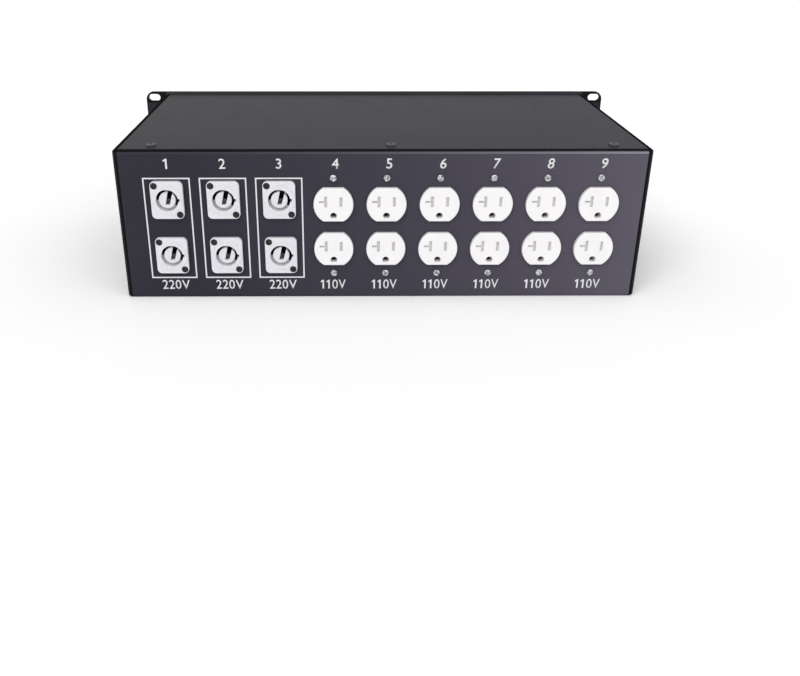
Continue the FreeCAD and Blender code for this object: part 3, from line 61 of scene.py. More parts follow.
# Print on the rear face, in millimetres. A duplex voltage's figures and unit are their shift and their width
INK_THICK = 0.06
DIGIT_HEIGHT = 8.5
DIGIT_Z = 118.0
VOLTAGE_HEIGHT = 8.5
VOLTAGE_Z = 12.0
LOCKING_DIGIT_SHIFT = 0.4
LOCKING_VOLTAGE_SHIFT = 0.7
LOCKING_VOLTAGE_WIDTH = 23.6
DUPLEX_DIGIT_SHIFT = 1.8
DUPLEX_FIGURES = (-4.2, 14.8)
DUPLEX_UNIT = (6.9, 6.1)
FRAME_WIDTH = 37.9
FRAME_LOW = 18.6
FRAME_HIGH = 105.8
FRAME_LINE = 1.15

# Print on the front face, in millimetres. A meter's words are its letter's place across and up and its unit's
# place across, and its tick is the place across, the foot and the top
WINDOW_LINE_Z = 90.0
WINDOW_LINE = 0.7
TICK_HIGH = 92.6
FRONT_DIGIT_HEIGHT = 5.6
FRONT_DIGIT_Z = 97.5
PILL_CENTRE = (90.2, 118.3)
PILL_SIZE = (31.4, 7.5)
PILL_LINE = 0.9
PILL_WORD_HEIGHT = 4.2
PILL_WORD_WIDTH = 14.2
METER_WORD_HEIGHT = 6.4
METER_LETTER_WIDTH = 4.6
METER_WORDS = {"X": (156.5, 121.3, 178.4), "Y": (158.3, 64.0, 180.2)}
METER_UNIT_HEIGHT = 7.68
METER_UNIT_WIDTH = 19.8
METER_TICKS = ((173.0, 110.3, 116.8), (174.6, 55.6, 60.2))
METER_TICK_WIDTH = 1.3

# Letters, in parts of their height: the space between them, the outline of a 1, and the lean of the rear
# numbers from the first leaning one on
LETTER_GAP = 0.1
WIDE_LETTER_GAP = 0.3
ONE_OUTLINE = ((0.2, 0.0), (0.38, 0.0), (0.38, 1.0), (0.25, 1.0), (0.0, 0.84), (0.0, 0.68), (0.2, 0.8))
LEAN = 0.12
FIRST_LEANING_NUMBER = 6

# Letters: how much heavier they are than the built-in typeface, and the steps along curves
PRINT_WEIGHT = 0.012
LOCKING_VOLTAGE_WEIGHT = 0.008
DUPLEX_VOLTAGE_WEIGHT = 0.004
METER_UNIT_WEIGHT = 0.01
LETTER_STEPS = 6
PILL_STEPS = 12

# Small print on the breakers' noses, in millimetres. A row is its height on the box, its start from the
# nose's left edge and its count of dashes. A nose wider than the limit has two poles and a rule
NOSE_PROUD = 1.5
NOSE_TOP_Z = 82.3
NOSE_ROWS = ((NOSE_TOP_Z, 3.2, 5), (78.4, 3.6, 4), (69.4, 5.6, 3))
NOSE_PRINT_HEIGHT = 0.8
NOSE_DASHES = (1.7, 0.9, 2.3, 1.2, 1.9)
NOSE_DASH_GAP = 0.5
NOSE_RULE_HEIGHT = 0.9
NOSE_RULE_INSETS = (1.0, 2.0)
SINGLE_POLE_LIMIT = 20.0

# Toggles: the pivot, and the green band on the barrel as angles above the horizontal
PIVOT_Y = -120.0 * MM
PIVOT_Z = 59.0 * MM
BAND_LOW = math.radians(11.0)
BAND_HIGH = math.radians(36.0)

# Locking outlets, in millimetres: heights above the rear face between which painted shade darkens their
# plastic down in the slots and grooves
SHELL_SHADE_FROM = 0.2
SHELL_SHADE_TO = -2.6

# Sheets, in millimetres: the cover's rear rim, with painted shade on its top, the painted shade band on its
# long bends across the lid and down the side, how far below the lid's top the painted highlight on the rear
# wall's top bend reaches, how far from its ends the painted shade of the joint with the cover reaches, and
# how deep the faces of a sheet reach
REAR_RIM = 1.8
LONG_BAND_WIDTH = 4.6
LONG_BAND_DROP = 0.9
BEND_HIGHLIGHT_DEPTH = 4.0
JOINT_SHADE = 1.6
FACE_DEPTH = 0.2

# Camera: the image's width in pixels, the sensor's in millimetres, the turn in degrees
IMAGE_WIDTH = 800
SENSOR_WIDTH = 36.0
FOCAL_PIXELS = 880.0
CENTRE_OFFSET_PIXELS = 45.0
CAMERA_PLACE = Vector((30.7, 830.2, 301.5)) * MM
CAMERA_TURN = (64.286, -0.092, 179.419)
NEAR_CLIP = 0.01

# Light and floor: a sun is its strength, its turn and its spread in degrees, and the rest is in metres
KEY_SUN = (1.3, (46, 0, 150), 35)
FILL_SUN = (0.6, (54, 0, 215), 50)
STRIP_POWER = 8.0
STRIP_PLACE = (0.0, -1.6, 0.065)
STRIP_LENGTH = 1.4
STRIP_HEIGHT = 0.1
AMBIENT_STRENGTH = 0.62
FLOOR_REACH = 20.0

# Faces and edges of the solids, in metres, and the nodes that carry print
REAR_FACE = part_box("base_tray")[1].y
FRONT_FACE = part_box("front_panel")[0].y
NOSE_FACE = FRONT_FACE - NOSE_PROUD * MM
PANEL_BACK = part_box("front_panel")[1].y
PANEL_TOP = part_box("front_panel")[1].z
HALF_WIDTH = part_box("top_cover")[1].x
TRAY_HALF_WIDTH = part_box("base_tray")[1].x
LID_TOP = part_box("top_cover")[1].z
LOCKING_NODES = [f"locking_outlets_{i}" for i in (1, 2, 3)]
DUPLEX_NODES = [f"duplex_outlet_{i}" for i in range(4, 10)]
BREAKER_NODES = [f"breaker_{i}" for i in range(1, 10)]


def colour(red, green, blue):
    """A colour written as it shows on a screen, 0 to 255, in the linear form that shaders use."""
    def linear(level):
        share = level / 255
        return share / 12.92 if share <= 0.04045 else ((share + 0.055) / 1.055) ** 2.4
    return (linear(red), linear(green), linear(blue), 1.0)


class Value:
    """A shader socket that takes part in arithmetic."""

    def __init__(self, shader, socket):
        self.shader = shader
        self.socket = socket

    def __add__(self, other):
        return self.shader.math("ADD", self, other)

    def __sub__(self, other):
        return self.shader.math("SUBTRACT", self, other)

    def __rsub__(self, other):
        return self.shader.math("SUBTRACT", other, self)

    def __mul__(self, other):
        return self.shader.math("MULTIPLY", self, other)

    def __gt__(self, other):
        return self.shader.math("GREATER_THAN", self, other)

    def __lt__(self, other):
        return self.shader.math("LESS_THAN", self, other)

    def __abs__(self):
        return self.shader.math("ABSOLUTE", self, 0.0)

    __radd__ = __add__
    __rmul__ = __mul__


class Shader:
    """The nodes of a material or of the world."""

    def __init__(self, owner):
        owner.use_nodes = True
        self.tree = owner.node_tree

    def node(self, kind, settings=None, inputs=None, output=0):
        """Adds a node: its settings come first, then its sockets' values or links."""
        node = self.tree.nodes.new(kind)
        for name, value in (settings or {}).items():
            setattr(node, name, value)
        for socket, value in (inputs or {}).items():
            self.feed(node.inputs[socket], value)
        return Value(self, node.outputs[output])

    def feed(self, socket, value):
        """Links a value to a socket, or sets a plain one."""
        if isinstance(value, Value):
            self.tree.links.new(value.socket, socket)
        else:
            socket.default_value = value

    def math(self, operation, first, second):
        """One step of arithmetic on values or numbers."""
        return self.node("ShaderNodeMath", {"operation": operation}, {0: first, 1: second})

    def blend(self, output, share, first, second):
        """Sends one shader to the named output, and another where the share is 1."""
        blended = self.node("ShaderNodeMixShader", None, {0: share, 1: first, 2: second})
        self.feed(self.tree.nodes[output].inputs["Surface"], blended)


class Finish(Shader):
    """One material and the nodes that drive its surface."""

    def __init__(self, name, **constants):
        self.material = bpy.data.materials.new(name)
        super().__init__(self.material)
        self.surface = self.tree.nodes["Principled BSDF"]
        self.place = self.node("ShaderNodeTexCoord", output="Object")
        for socket, value in constants.items():
            self.set(socket, value)

    def set(self, socket, value):
        """Feeds the surface's own socket, named with underscores for spaces."""
        self.feed(self.surface.inputs[socket.replace("_", " ")], value)

    def mix(self, share, first, second):
        """A colour between two others."""
        return self.node("ShaderNodeMix", {"data_type": "RGBA"}, {0: share, 6: first, 7: second}, output=2)

    def noise(self, size_mm, detail=2.0, stretch=(1.0, 1.0, 1.0)):
        """Cloudy values from 0 to 1 with features of about the given size."""
        place = self.node("ShaderNodeMapping", None, {"Vector": self.place, "Scale": stretch})
        inputs = {"Vector": place, "Scale": 1 / (size_mm * MM), "Detail": detail}
        return self.node("ShaderNodeTexNoise", None, inputs, output="Fac")

    def along(self, axis):
        """The rest position on one axis, in metres."""
        return self.node("ShaderNodeSeparateXYZ", None, {"Vector": self.place}, output=axis)

    def stretch(self, value, low, high):
        """The value's range from low to high, opened to 0 to 1 and clamped."""
        return self.node("ShaderNodeMapRange", None, {"Value": value, "From Min": low, "From Max": high})

    def show(self, share, shader):
        """Shows another shader in place of the surface where the share is 1."""
        self.blend("Material Output", share, Value(self, self.surface.outputs[0]), shader)

    def relief(self, height, strength, depth_mm):
        """Bumps the surface by a height pattern."""
        inputs = {"Height": height, "Strength": strength, "Distance": depth_mm * MM}
        self.set("Normal", self.node("ShaderNodeBump", None, inputs))


def drift(finish, start, end):
    """Painted light: a colour that changes slowly from one end of the box to the other, as light falls more
    on one end.
    """
    across = finish.stretch(finish.along("X"), HALF_WIDTH, -HALF_WIDTH)
    return finish.mix(across * across, start, end)


def powder_coat(name, start, end):
    """Satin black powder coat with orange-peel skin and handling marks, and its clouded tone over a painted
    light gradient across the box.
    """
    finish = Finish(name, Specular_IOR_Level=0.04)
    cloud = finish.noise(110.0, detail=3.0)
    skin = finish.noise(0.9)
    smear = finish.stretch(finish.noise(24.0, detail=4.0, stretch=(1.0, 0.4, 1.0)), low=0.55, high=0.9)
    finish.set("Roughness", 0.44 + 0.06 * cloud + 0.05 * smear)
    finish.relief(skin, strength=0.12, depth_mm=0.05)
    # The tone is the painted light gradient across the box, clouded at random
    return finish, finish.mix(0.3 * cloud, drift(finish, start, end), colour(78, 76, 86))


def sheet_coat():
    """Plain coat, as on the brackets, with the painted light gradient across the box."""
    finish, tone = powder_coat("sheet_coat", colour(42, 42, 47), colour(35, 37, 45))
    finish.set("Base_Color", tone)
    return finish.material


def panel_coat():
    """Coat of the front panel, with the painted light gradient across the box, a painted highlight on its top
    edge, painted light on its rear face between the ears and painted shade on the rear faces of the ears.
    """
    finish, tone = powder_coat("panel_coat", colour(40, 40, 51), colour(28, 29, 39))
    behind = finish.along("Y") > PANEL_BACK - FACE_DEPTH * MM
    on_ears = abs(finish.along("X")) > HALF_WIDTH
    top_edge_highlight = finish.along("Z") > PANEL_TOP - FACE_DEPTH * MM
    # Painted light on the panel's rear face between the ears, painted shade on the ears' rear faces
    back_light_and_shade = finish.mix(on_ears, colour(62, 61, 63), colour(25, 24, 25))
    tone = finish.mix(behind, tone, back_light_and_shade)
    # Painted highlight along the panel's top edge
    finish.set("Base_Color", finish.mix(top_edge_highlight, tone, colour(80, 79, 86)))
    return finish.material


def cover_coat():
    """Coat of the cover, with the painted light gradient across the box, painted shade along the top of its
    rear rim, and a matt black band of painted shade on its long bends.
    """
    finish, tone = powder_coat("cover_coat", colour(39, 39, 42), colour(31, 34, 41))
    rear_rim = finish.along("Y") > REAR_FACE - REAR_RIM * MM
    top_rim = finish.along("Z") > LID_TOP - REAR_RIM * MM
    # Painted shade along the top of the rear rim
    rim = finish.mix(top_rim, colour(42, 42, 45), colour(20, 20, 24))
    finish.set("Base_Color", finish.mix(rear_rim, tone, rim))
    beside = abs(finish.along("X")) > HALF_WIDTH - LONG_BAND_WIDTH * MM
    above = finish.along("Z") > LID_TOP - LONG_BAND_DROP * MM
    # Painted shade: a matt black band without sheen along the long bends
    painted_shade_bends = finish.node("ShaderNodeBsdfDiffuse", None, {"Color": colour(24, 23, 24)})
    finish.show(beside * above, painted_shade_bends)
    return finish.material


def tray_coat():
    """Coat of the tray, with a strong painted light gradient across the box, a painted highlight along the
    bend at the top of its rear wall, and painted shade at the wall's ends where it meets the cover.
    """
    # Painted light: the tray's gradient runs from dark to much lighter across the box
    finish, tone = powder_coat("tray_coat", colour(41, 39, 48), colour(88, 84, 96))
    # Painted highlight along the rear wall's top bend, itself following the painted light gradient
    wear_and_highlight = finish.along("Z") > LID_TOP - BEND_HIGHLIGHT_DEPTH * MM
    highlight_tone = drift(finish, colour(54, 53, 58), colour(132, 130, 137))
    # Painted shade at the rear wall's ends, where it meets the cover
    joint_shade_mask = abs(finish.along("X")) > TRAY_HALF_WIDTH - JOINT_SHADE * MM
    tone = finish.mix(wear_and_highlight, tone, highlight_tone)
    finish.set("Base_Color", finish.mix(joint_shade_mask, tone, colour(17, 16, 19)))
    return finish.material


def black_oxide():
    """Blackened screw steel with lighter rubbed grain."""
    finish = Finish("black_oxide", Metallic=0.6)
    grain = finish.noise(0.5, detail=3.0)
    wear_and_highlight = finish.stretch(grain, low=0.4, high=0.7)
    finish.set("Base_Color", finish.mix(wear_and_highlight, colour(17, 17, 19), colour(76, 75, 78)))
    finish.set("Roughness", 0.26 + 0.2 * grain)
    finish.relief(grain, strength=0.1, depth_mm=0.05)
    return finish.material


def coated_screw():
    """Screw under the same black coat as the sheets, in a lighter grey that is painted sheen, matching the
    lid's sheen round it.
    """
    finish = Finish("coated_screw", Specular_IOR_Level=0.2)
    grain = finish.noise(0.6, detail=3.0)
    # Painted sheen: the screw's grey is lighter than the sheets' coat
    finish.set("Base_Color", finish.mix(grain, colour(62, 62, 66), colour(80, 79, 84)))
    finish.set("Roughness", 0.4 + 0.1 * grain)
    finish.relief(grain, strength=0.08, depth_mm=0.05)
    return finish.material


def zinc_plate():
    """Zinc on steel, bright and dull in patches, with drawn streaks."""
    finish = Finish("zinc_plate", Metallic=1.0)
    streak = finish.noise(0.35, stretch=(0.15, 1.0, 1.0))
    patch = finish.stretch(finish.noise(1.6, detail=3.0), low=0.38, high=0.62)
    finish.set("Base_Color", finish.mix(patch, colour(112, 112, 116), colour(228, 228, 232)))
    finish.set("Roughness", 0.2 + 0.18 * streak)
    finish.relief(streak, strength=0.06, depth_mm=0.03)
    return finish.material


def moulded_plastic(name, dark, light, roughness, grain_mm=0.6, gloss=0.45):
    """Moulded plastic: slow tone change and a fine spark-eroded texture."""
    finish = Finish(name, Specular_IOR_Level=gloss)
    tone = finish.noise(14.0, detail=3.0)
    grain = finish.noise(grain_mm)
    finish.set("Base_Color", finish.mix(tone, dark, light))
    finish.set("Roughness", roughness + 0.1 * grain)
    finish.relief(grain, strength=0.06, depth_mm=0.04)
    return finish.material


def locking_shell():
    """Mottled grey-white shell, with painted shade down in its slots and grooves."""
    finish = Finish("locking_shell", Specular_IOR_Level=0.4)
    mottle = finish.noise(2.2, detail=4.0)
    grain = finish.noise(0.6)
    # Painted shade: the plastic turns dark below the rear face, down in the slots and grooves
    recess_shade = finish.stretch(finish.along("Y"), REAR_FACE + SHELL_SHADE_FROM * MM, REAR_FACE + SHELL_SHADE_TO * MM)
    shell = finish.mix(mottle, colour(200, 199, 204), colour(224, 223, 228))
    finish.set("Base_Color", finish.mix(recess_shade, shell, colour(58, 57, 58)))
    finish.set("Roughness", 0.42 + 0.1 * grain)
    finish.relief(grain, strength=0.06, depth_mm=0.04)
    return finish.material


def outlet_plastic():
    return moulded_plastic("outlet_plastic", colour(225, 223, 225), colour(235, 233, 234),
                           roughness=0.26, grain_mm=1.2)


def shutter_plastic():
    return moulded_plastic("shutter_plastic", colour(194, 193, 191), colour(206, 205, 203), roughness=0.4)


def breaker_plastic():
    return moulded_plastic("breaker_plastic", colour(226, 226, 222), colour(236, 236, 232), roughness=0.4)


def inlet_plastic():
    return moulded_plastic("inlet_plastic", colour(208, 211, 212), colour(220, 223, 223), roughness=0.36)


def inlet_core():
    return moulded_plastic("inlet_core", colour(226, 217, 196), colour(238, 231, 214), roughness=0.45)


def black_plastic():
    return moulded_plastic("black_plastic", colour(25, 26, 29), colour(33, 34, 37),
                           roughness=0.4, grain_mm=0.8, gloss=0.2)


def toggle_plastic():
    """White toggle with a green band on its barrel above the lever."""
    finish = Finish("toggle_plastic", Specular_IOR_Level=0.45)
    out = PIVOT_Y - finish.along("Y")
    up = finish.along("Z") - PIVOT_Z
    band = (up > out * math.tan(BAND_LOW)) * (up < out * math.tan(BAND_HIGH))
    grain = finish.noise(0.6)
    tone = finish.noise(6.0, detail=3.0)
    white = finish.mix(tone, colour(228, 228, 226), colour(238, 238, 236))
    green = finish.mix(tone, colour(40, 118, 80), colour(54, 136, 96))
    finish.set("Base_Color", finish.mix(band, white, green))
    finish.set("Roughness", 0.36 + 0.1 * grain)
    finish.relief(grain, strength=0.06, depth_mm=0.04)
    return finish.material


def label_plastic():
    """Smoky grey label strip with a darker foot."""
    finish = Finish("label_plastic", Coat_Roughness=0.1, Coat_Weight=0.4)
    low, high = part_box("breaker_labels")
    height = finish.stretch(finish.along("Z"), low.z, high.z)
    cloud = finish.noise(3.0, detail=3.0)
    tone = finish.mix(height, colour(84, 84, 92), colour(128, 128, 134))
    finish.set("Base_Color", finish.mix(cloud * 0.3, tone, colour(140, 140, 146)))
    finish.set("Roughness", 0.3 + 0.15 * cloud)
    return finish.material


def bare_metal(name, dark, light):
    """Stamped metal with slight tarnish and rolling lines."""
    finish = Finish(name, Metallic=1.0)
    tarnish = finish.stretch(finish.noise(4.0, detail=4.0), low=0.35, high=0.75)
    lines = finish.noise(0.4, stretch=(1.0, 1.0, 0.12))
    finish.set("Base_Color", finish.mix(tarnish, light, dark))
    finish.set("Roughness", 0.24 + 0.2 * tarnish + 0.08 * lines)
    finish.relief(lines, strength=0.05, depth_mm=0.03)
    return finish.material


def brass():
    return bare_metal("brass", colour(170, 138, 78), colour(214, 186, 120))


# Dull brass, darkened further as painted shade for the contacts down in the outlet holes
def dull_brass():
    return bare_metal("dull_brass", colour(64, 52, 32), colour(100, 84, 54))


def copper():
    return bare_metal("copper", colour(150, 88, 60), colour(206, 136, 104))


def clear_window():
    """Thin clear plate in front of a display."""
    finish = Finish("clear_window", Base_Color=(0.9, 0.93, 0.92, 1.0), Alpha=0.1)
    haze = finish.noise(8.0, detail=3.0)
    finish.set("Roughness", 0.04 + 0.06 * haze)
    return finish.material


def display_glass():
    """Unlit display: grey-green, greener in slow patches, with a faint film texture."""
    finish = Finish("display_glass", Specular_IOR_Level=0.4)
    cloud = finish.noise(22.0)
    film = finish.noise(0.5, stretch=(1.0, 1.0, 0.2))
    tone = finish.mix(cloud, colour(160, 167, 150), colour(163, 176, 144))
    finish.set("Base_Color", finish.mix(film * 0.25, tone, colour(178, 184, 170)))
    finish.set("Roughness", 0.24 + 0.1 * film)
    return finish.material


def insulation(name, dark, light):
    """Wire insulation with faint draw marks along it."""
    finish = Finish(name, Specular_IOR_Level=0.4)
    tone = finish.noise(3.0, detail=3.0)
    finish.set("Base_Color", finish.mix(tone, dark, light))
    finish.set("Roughness", 0.38 + 0.12 * tone)
    finish.relief(tone, strength=0.05, depth_mm=0.05)
    return finish.material


def black_insulation():
    return insulation("black_insulation", colour(26, 26, 28), colour(38, 38, 40))


def red_insulation():
    return insulation("red_insulation", colour(150, 24, 24), colour(178, 34, 32))


def white_insulation():
    return insulation("white_insulation", colour(216, 215, 210), colour(230, 229, 225))


def green_insulation():
    return insulation("green_insulation", colour(20, 104, 48), colour(30, 128, 62))


def ink(name, dark, light):
    """Screen-printed ink, a little uneven in cover."""
    finish = Finish(name, Specular_IOR_Level=0.3)
    cover = finish.noise(1.6, detail=3.0)
    finish.set("Base_Color", finish.mix(cover, dark, light))
    finish.set("Roughness", 0.5 + 0.15 * cover)
    return finish.material


FINISHES = {
    "black_sheet": sheet_coat, "black_screw": black_oxide, "zinc_steel": zinc_plate,
    "grey_shell": locking_shell, "white_outlet": outlet_plastic, "breaker_body": breaker_plastic,
    "toggle": toggle_plastic, "label": label_plastic, "inlet_shell": inlet_plastic,
    "inlet_core": inlet_core, "brass": brass, "copper": copper, "meter_case": black_plastic,
    "clear_window": clear_window, "display": display_glass, "black_insulation": black_insulation,
    "red_insulation": red_insulation, "white_insulation": white_insulation,
    "green_insulation": green_insulation,
}


# Nodes with a finish apart from that of their material slot
OWN_FINISHES = {
    "front_panel": panel_coat, "base_tray": tray_coat, "top_cover": cover_coat, "cover_screws": coated_screw,
    "duplex_shutters": shutter_plastic, "duplex_contacts": dull_brass,
}


def dress_solids():
    """Gives every solid its own finish or that of its material slot."""
    made = {slot: build() for slot, build in FINISHES.items()}
    own = {node: build() for node, build in OWN_FINISHES.items()}
    for part in frame["record"]["subparts"]:
        mesh = frame["nodes"][part["node"]].data
        mesh.materials.clear()
        mesh.materials.append(own.get(part["node"], made[part["material_slot"]]))


def on_rear(right, up, out):
    """A point on the rear face, with right and up as seen from behind, in millimetres."""
    return Vector((-right * MM, REAR_FACE + out * MM, up * MM))


def on_front(right, up, out):
    """A point on the front panel, with right and up as seen from the front, in millimetres."""
    return Vector((right * MM, FRONT_FACE - out * MM, up * MM))


def on_noses(right, up, out):
    """A point on the breakers' noses, with right and up as seen from the front, in millimetres."""
    return Vector((right * MM, NOSE_FACE - out * MM, up * MM))


def middle_x(node):
    """The middle of a node across the box, in millimetres."""
    low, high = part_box(node)
    return (low.x + high.x) / 2 / MM


def rectangle_loop(width, height):
    """Corners of a rectangle round its own middle."""
    x = width / 2
    y = height / 2
    return [(-x, -y), (x, -y), (x, y), (-x, y)]


def pill_loop(width, height):
    """Outline with straight sides and half-round ends, round its own middle."""
    radius = height / 2
    run = width / 2 - radius
    points = []
    for side in (1, -1):
        for step in range(PILL_STEPS + 1):
            angle = math.pi * (step / PILL_STEPS - 0.5)
            points.append((side * (run + radius * math.cos(angle)), side * radius * math.sin(angle)))
    return points


def one_figure(height, slant):
    """A 1 with a flag, as tall as the typeface's other figures."""
    mesh = bpy.data.meshes.new("one")
    corners = [((x + slant * y) * height, y * height, 0) for x, y in ONE_OUTLINE]
    mesh.from_pydata(corners, [], [range(len(corners))])
    return mesh


def lettering(letter, weight, slant):
    """Flat outline of a letter in the built-in typeface."""
    curve = bpy.data.curves.new("lettering", "FONT")
    curve.body = letter
    curve.offset = weight
    curve.shear = slant
    curve.resolution_u = LETTER_STEPS
    curve.fill_mode = "FRONT"
    holder = bpy.data.objects.new("lettering", curve)
    mesh = bpy.data.meshes.new_from_object(holder)
    bpy.data.objects.remove(holder)
    bpy.data.curves.remove(curve)
    return mesh


def span(vertices, axis):
    """The lowest and highest place of some vertices on one axis."""
    places = [vertex.co[axis] for vertex in vertices]
    return min(places), max(places)


def figure_height():
    """How tall the figures of the built-in typeface are."""
    seven = lettering("7", 0.0, 0.0)
    height = span(seven.vertices, 1)[1]
    bpy.data.meshes.remove(seven)
    return height


FIGURE_HEIGHT = figure_height()


class Print:
    """Flat print gathered on one face of the box, then given its thickness."""

    def __init__(self, name, place):
        self.name = name
        self.place = place
        self.flat = bmesh.new()

    def area(self, corners):
        """A filled outline."""
        self.flat.faces.new([self.flat.verts.new((x, y, 0)) for x, y in corners])

    def bar(self, left, right, low, high):
        """A filled rectangle."""
        self.area([(left, low), (right, low), (right, high), (left, high)])

    def ring(self, centre, outer, inner):
        """The band between two outlines with as many points each."""
        loops = []
        for loop in (outer, inner):
            loops.append([self.flat.verts.new((centre[0] + x, centre[1] + y, 0)) for x, y in loop])
        count = len(outer)
        for i in range(count):
            j = (i + 1) % count
            self.flat.faces.new([loops[0][i], loops[0][j], loops[1][j], loops[1][i]])

    def words(self, words, centre, height, width=None, weight=0.0, slant=0.0, gap=LETTER_GAP):
        """Some words, fitted to a height and a width round a centre."""
        first = len(self.flat.verts)
        pen = 0.0
        for letter in words:
            mesh = one_figure(FIGURE_HEIGHT, slant) if letter == "1" else lettering(letter, weight, slant)
            left, right = span(mesh.vertices, 0)
            mesh.transform(Matrix.Translation((pen - left, 0, 0)))
            pen += right - left + gap * FIGURE_HEIGHT
            self.flat.from_mesh(mesh)
            bpy.data.meshes.remove(mesh)
        self.flat.verts.ensure_lookup_table()
        fresh = self.flat.verts[first:]
        left, right = span(fresh, 0)
        low, high = span(fresh, 1)
        tall = height / (high - low)
        wide = width / (right - left) if width else tall
        for vertex in fresh:
            x = centre[0] + (vertex.co.x - (left + right) / 2) * wide
            y = centre[1] + (vertex.co.y - (low + high) / 2) * tall
            vertex.co = (x, y, 0)

    def lay(self, material):
        """Raises the print by its thickness, sets it on its face and fixes it to the box."""
        raised = bmesh.ops.extrude_face_region(self.flat, geom=self.flat.faces[:])
        for piece in raised["geom"]:
            if isinstance(piece, bmesh.types.BMVert):
                piece.co.z = INK_THICK
        for vertex in self.flat.verts:
            vertex.co = self.place(*vertex.co)
        mesh = bpy.data.meshes.new(self.name)
        self.flat.to_mesh(mesh)
        self.flat.free()
        mesh.materials.append(material)
        piece = bpy.data.objects.new(self.name, mesh)
        bpy.context.scene.collection.objects.link(piece)
        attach(piece, "enclosure")


def rear_print(white):
    """Circuit numbers, voltages and the frames round the locking outlets."""
    sheet = Print("rear_print", on_rear)
    for number, node in enumerate(LOCKING_NODES + DUPLEX_NODES, 1):
        shift = LOCKING_DIGIT_SHIFT if node in LOCKING_NODES else DUPLEX_DIGIT_SHIFT
        slant = LEAN if number >= FIRST_LEANING_NUMBER else 0.0
        place = (shift - middle_x(node), DIGIT_Z)
        sheet.words(str(number), place, DIGIT_HEIGHT, weight=PRINT_WEIGHT, slant=slant)
    for node in LOCKING_NODES:
        right = -middle_x(node)
        place = (right + LOCKING_VOLTAGE_SHIFT, VOLTAGE_Z)
        sheet.words("220V", place, VOLTAGE_HEIGHT, LOCKING_VOLTAGE_WIDTH, weight=LOCKING_VOLTAGE_WEIGHT)
        height = FRAME_HIGH - FRAME_LOW
        outer = rectangle_loop(FRAME_WIDTH + FRAME_LINE, height + FRAME_LINE)
        inner = rectangle_loop(FRAME_WIDTH - FRAME_LINE, height - FRAME_LINE)
        sheet.ring((right, (FRAME_HIGH + FRAME_LOW) / 2), outer, inner)
    for node in DUPLEX_NODES:
        for words, (shift, width) in (("110", DUPLEX_FIGURES), ("V", DUPLEX_UNIT)):
            place = (shift - middle_x(node), VOLTAGE_Z)
            sheet.words(words, place, VOLTAGE_HEIGHT, width,
                        weight=DUPLEX_VOLTAGE_WEIGHT, gap=WIDE_LETTER_GAP)
    sheet.lay(white)


def front_print(white):
    """Breaker numbers over their line, the inlet's word and the meters' words."""
    sheet = Print("front_print", on_front)
    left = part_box(BREAKER_NODES[0])[0].x / MM
    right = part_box(BREAKER_NODES[-1])[1].x / MM
    half = WINDOW_LINE / 2
    sheet.bar(left, right, WINDOW_LINE_Z - half, WINDOW_LINE_Z + half)
    for number, node in enumerate(BREAKER_NODES, 1):
        x = middle_x(node)
        sheet.bar(x - half, x + half, WINDOW_LINE_Z + half, TICK_HIGH)
        sheet.words(str(number), (x, FRONT_DIGIT_Z), FRONT_DIGIT_HEIGHT, weight=PRINT_WEIGHT)
    width, height = PILL_SIZE
    sheet.ring(PILL_CENTRE, pill_loop(width + PILL_LINE, height + PILL_LINE),
               pill_loop(width - PILL_LINE, height - PILL_LINE))
    sheet.words("INPUT", PILL_CENTRE, PILL_WORD_HEIGHT, PILL_WORD_WIDTH, weight=PRINT_WEIGHT)
    for letter, (x, z, unit_x) in METER_WORDS.items():
        sheet.words(letter, (x, z), METER_WORD_HEIGHT, METER_LETTER_WIDTH, weight=PRINT_WEIGHT)
        sheet.words("(A/V)", (unit_x, z), METER_UNIT_HEIGHT, METER_UNIT_WIDTH, weight=METER_UNIT_WEIGHT)
    for x, low, high in METER_TICKS:
        sheet.bar(x - METER_TICK_WIDTH / 2, x + METER_TICK_WIDTH / 2, low, high)
    sheet.lay(white)


def dash_row(sheet, left, z, count):
    """A row of short dashes that stands for small print."""
    for dash in NOSE_DASHES[:count]:
        sheet.bar(left, left + dash, z, z + NOSE_PRINT_HEIGHT)
        left += dash + NOSE_DASH_GAP


def breaker_print(grey, green):
    """Faint rows of small print on each nose, and the rule on the two-pole ones."""
    faint = Print("breaker_print", on_noses)
    rules = Print("breaker_rules", on_noses)
    for node in BREAKER_NODES:
        low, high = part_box(node)
        left = low.x / MM
        right = high.x / MM
        for z, start, count in NOSE_ROWS:
            dash_row(faint, left + start, z, count)
        if right - left > SINGLE_POLE_LIMIT:
            middle = (left + right) / 2
            inner, outer = NOSE_RULE_INSETS
            rules.bar(middle + inner, right - outer, NOSE_TOP_Z, NOSE_TOP_Z + NOSE_RULE_HEIGHT)
    faint.lay(grey)
    rules.lay(green)


def add_camera():
    """Camera behind the box, looking down on its outlets and lid."""
    data = bpy.data.cameras.new("camera")
    data.sensor_width = SENSOR_WIDTH
    data.lens = FOCAL_PIXELS / IMAGE_WIDTH * SENSOR_WIDTH
    data.shift_x = CENTRE_OFFSET_PIXELS / IMAGE_WIDTH
    data.clip_start = NEAR_CLIP
    camera = bpy.data.objects.new("camera", data)
    camera.location = CAMERA_PLACE
    camera.rotation_euler = Euler([math.radians(turn) for turn in CAMERA_TURN])
    bpy.context.scene.collection.objects.link(camera)
    bpy.context.scene.camera = camera


def add_sun(name, strength, turn, spread):
    """Soft directional lamp."""
    data = bpy.data.lights.new(name, "SUN")
    data.energy = strength
    data.angle = math.radians(spread)
    lamp = bpy.data.objects.new(name, data)
    lamp.rotation_euler = Euler([math.radians(angle) for angle in turn])
    bpy.context.scene.collection.objects.link(lamp)


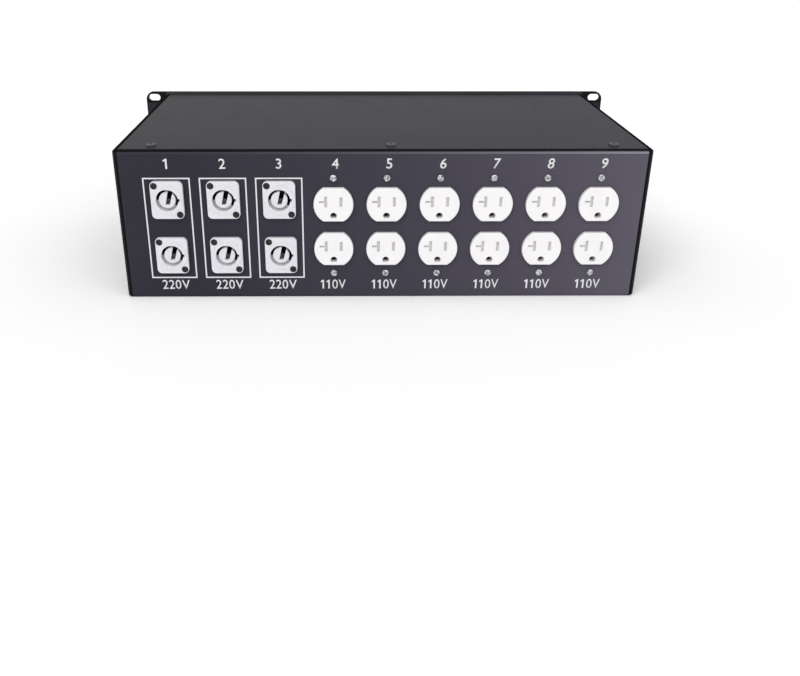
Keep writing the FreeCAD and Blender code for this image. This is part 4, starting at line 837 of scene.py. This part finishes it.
def add_strip():
    """Low wide lamp in front of the panel, under the level of the lid."""
    data = bpy.data.lights.new("front_strip", "AREA")
    data.shape = "RECTANGLE"
    data.size = STRIP_LENGTH
    data.size_y = STRIP_HEIGHT
    data.energy = STRIP_POWER
    lamp = bpy.data.objects.new("front_strip", data)
    lamp.location = STRIP_PLACE
    lamp.rotation_euler = Euler((math.pi / 2, 0, 0))
    lamp.visible_camera = False
    bpy.context.scene.collection.objects.link(lamp)


def add_world():
    """White surroundings for what the camera, gloss and glass see, and a plain ambient light for the rest."""
    world = bpy.data.worlds.new("studio")
    studio = Shader(world)
    soft = studio.node("ShaderNodeBackground", None, {"Color": (1, 1, 1, 1), "Strength": AMBIENT_STRENGTH})
    white = studio.node("ShaderNodeBackground", None, {"Color": (1, 1, 1, 1)})
    camera = studio.node("ShaderNodeLightPath", output="Is Camera Ray")
    gloss = studio.node("ShaderNodeLightPath", output="Is Glossy Ray")
    glass = studio.node("ShaderNodeLightPath", output="Is Transmission Ray")
    studio.blend("World Output", camera + gloss + glass, soft, white)
    bpy.context.scene.world = world


def add_floor():
    """White floor under the box."""
    finish = Finish("floor", Base_Color=(1.0, 1.0, 1.0, 1.0), Roughness=0.9, Specular_IOR_Level=0.0)
    mesh = bpy.data.meshes.new("floor")
    corners = [(x, y, 0) for x, y in rectangle_loop(2 * FLOOR_REACH, 2 * FLOOR_REACH)]
    mesh.from_pydata(corners, [], [range(len(corners))])
    mesh.materials.append(finish.material)
    floor = bpy.data.objects.new("floor", mesh)
    floor.location.z = cad_box[0].z
    bpy.context.scene.collection.objects.link(floor)


dress_solids()
white_ink = ink("white_ink", colour(208, 207, 210), colour(222, 221, 224))
rear_print(white_ink)
front_print(white_ink)
breaker_print(ink("grey_ink", colour(178, 178, 176), colour(196, 196, 194)),
              ink("green_ink", colour(60, 128, 96), colour(78, 146, 112)))
add_camera()
add_sun("key", *KEY_SUN)
add_sun("fill", *FILL_SUN)
add_strip()
add_world()
add_floor()
bpy.context.scene.view_settings.view_transform = "Standard"
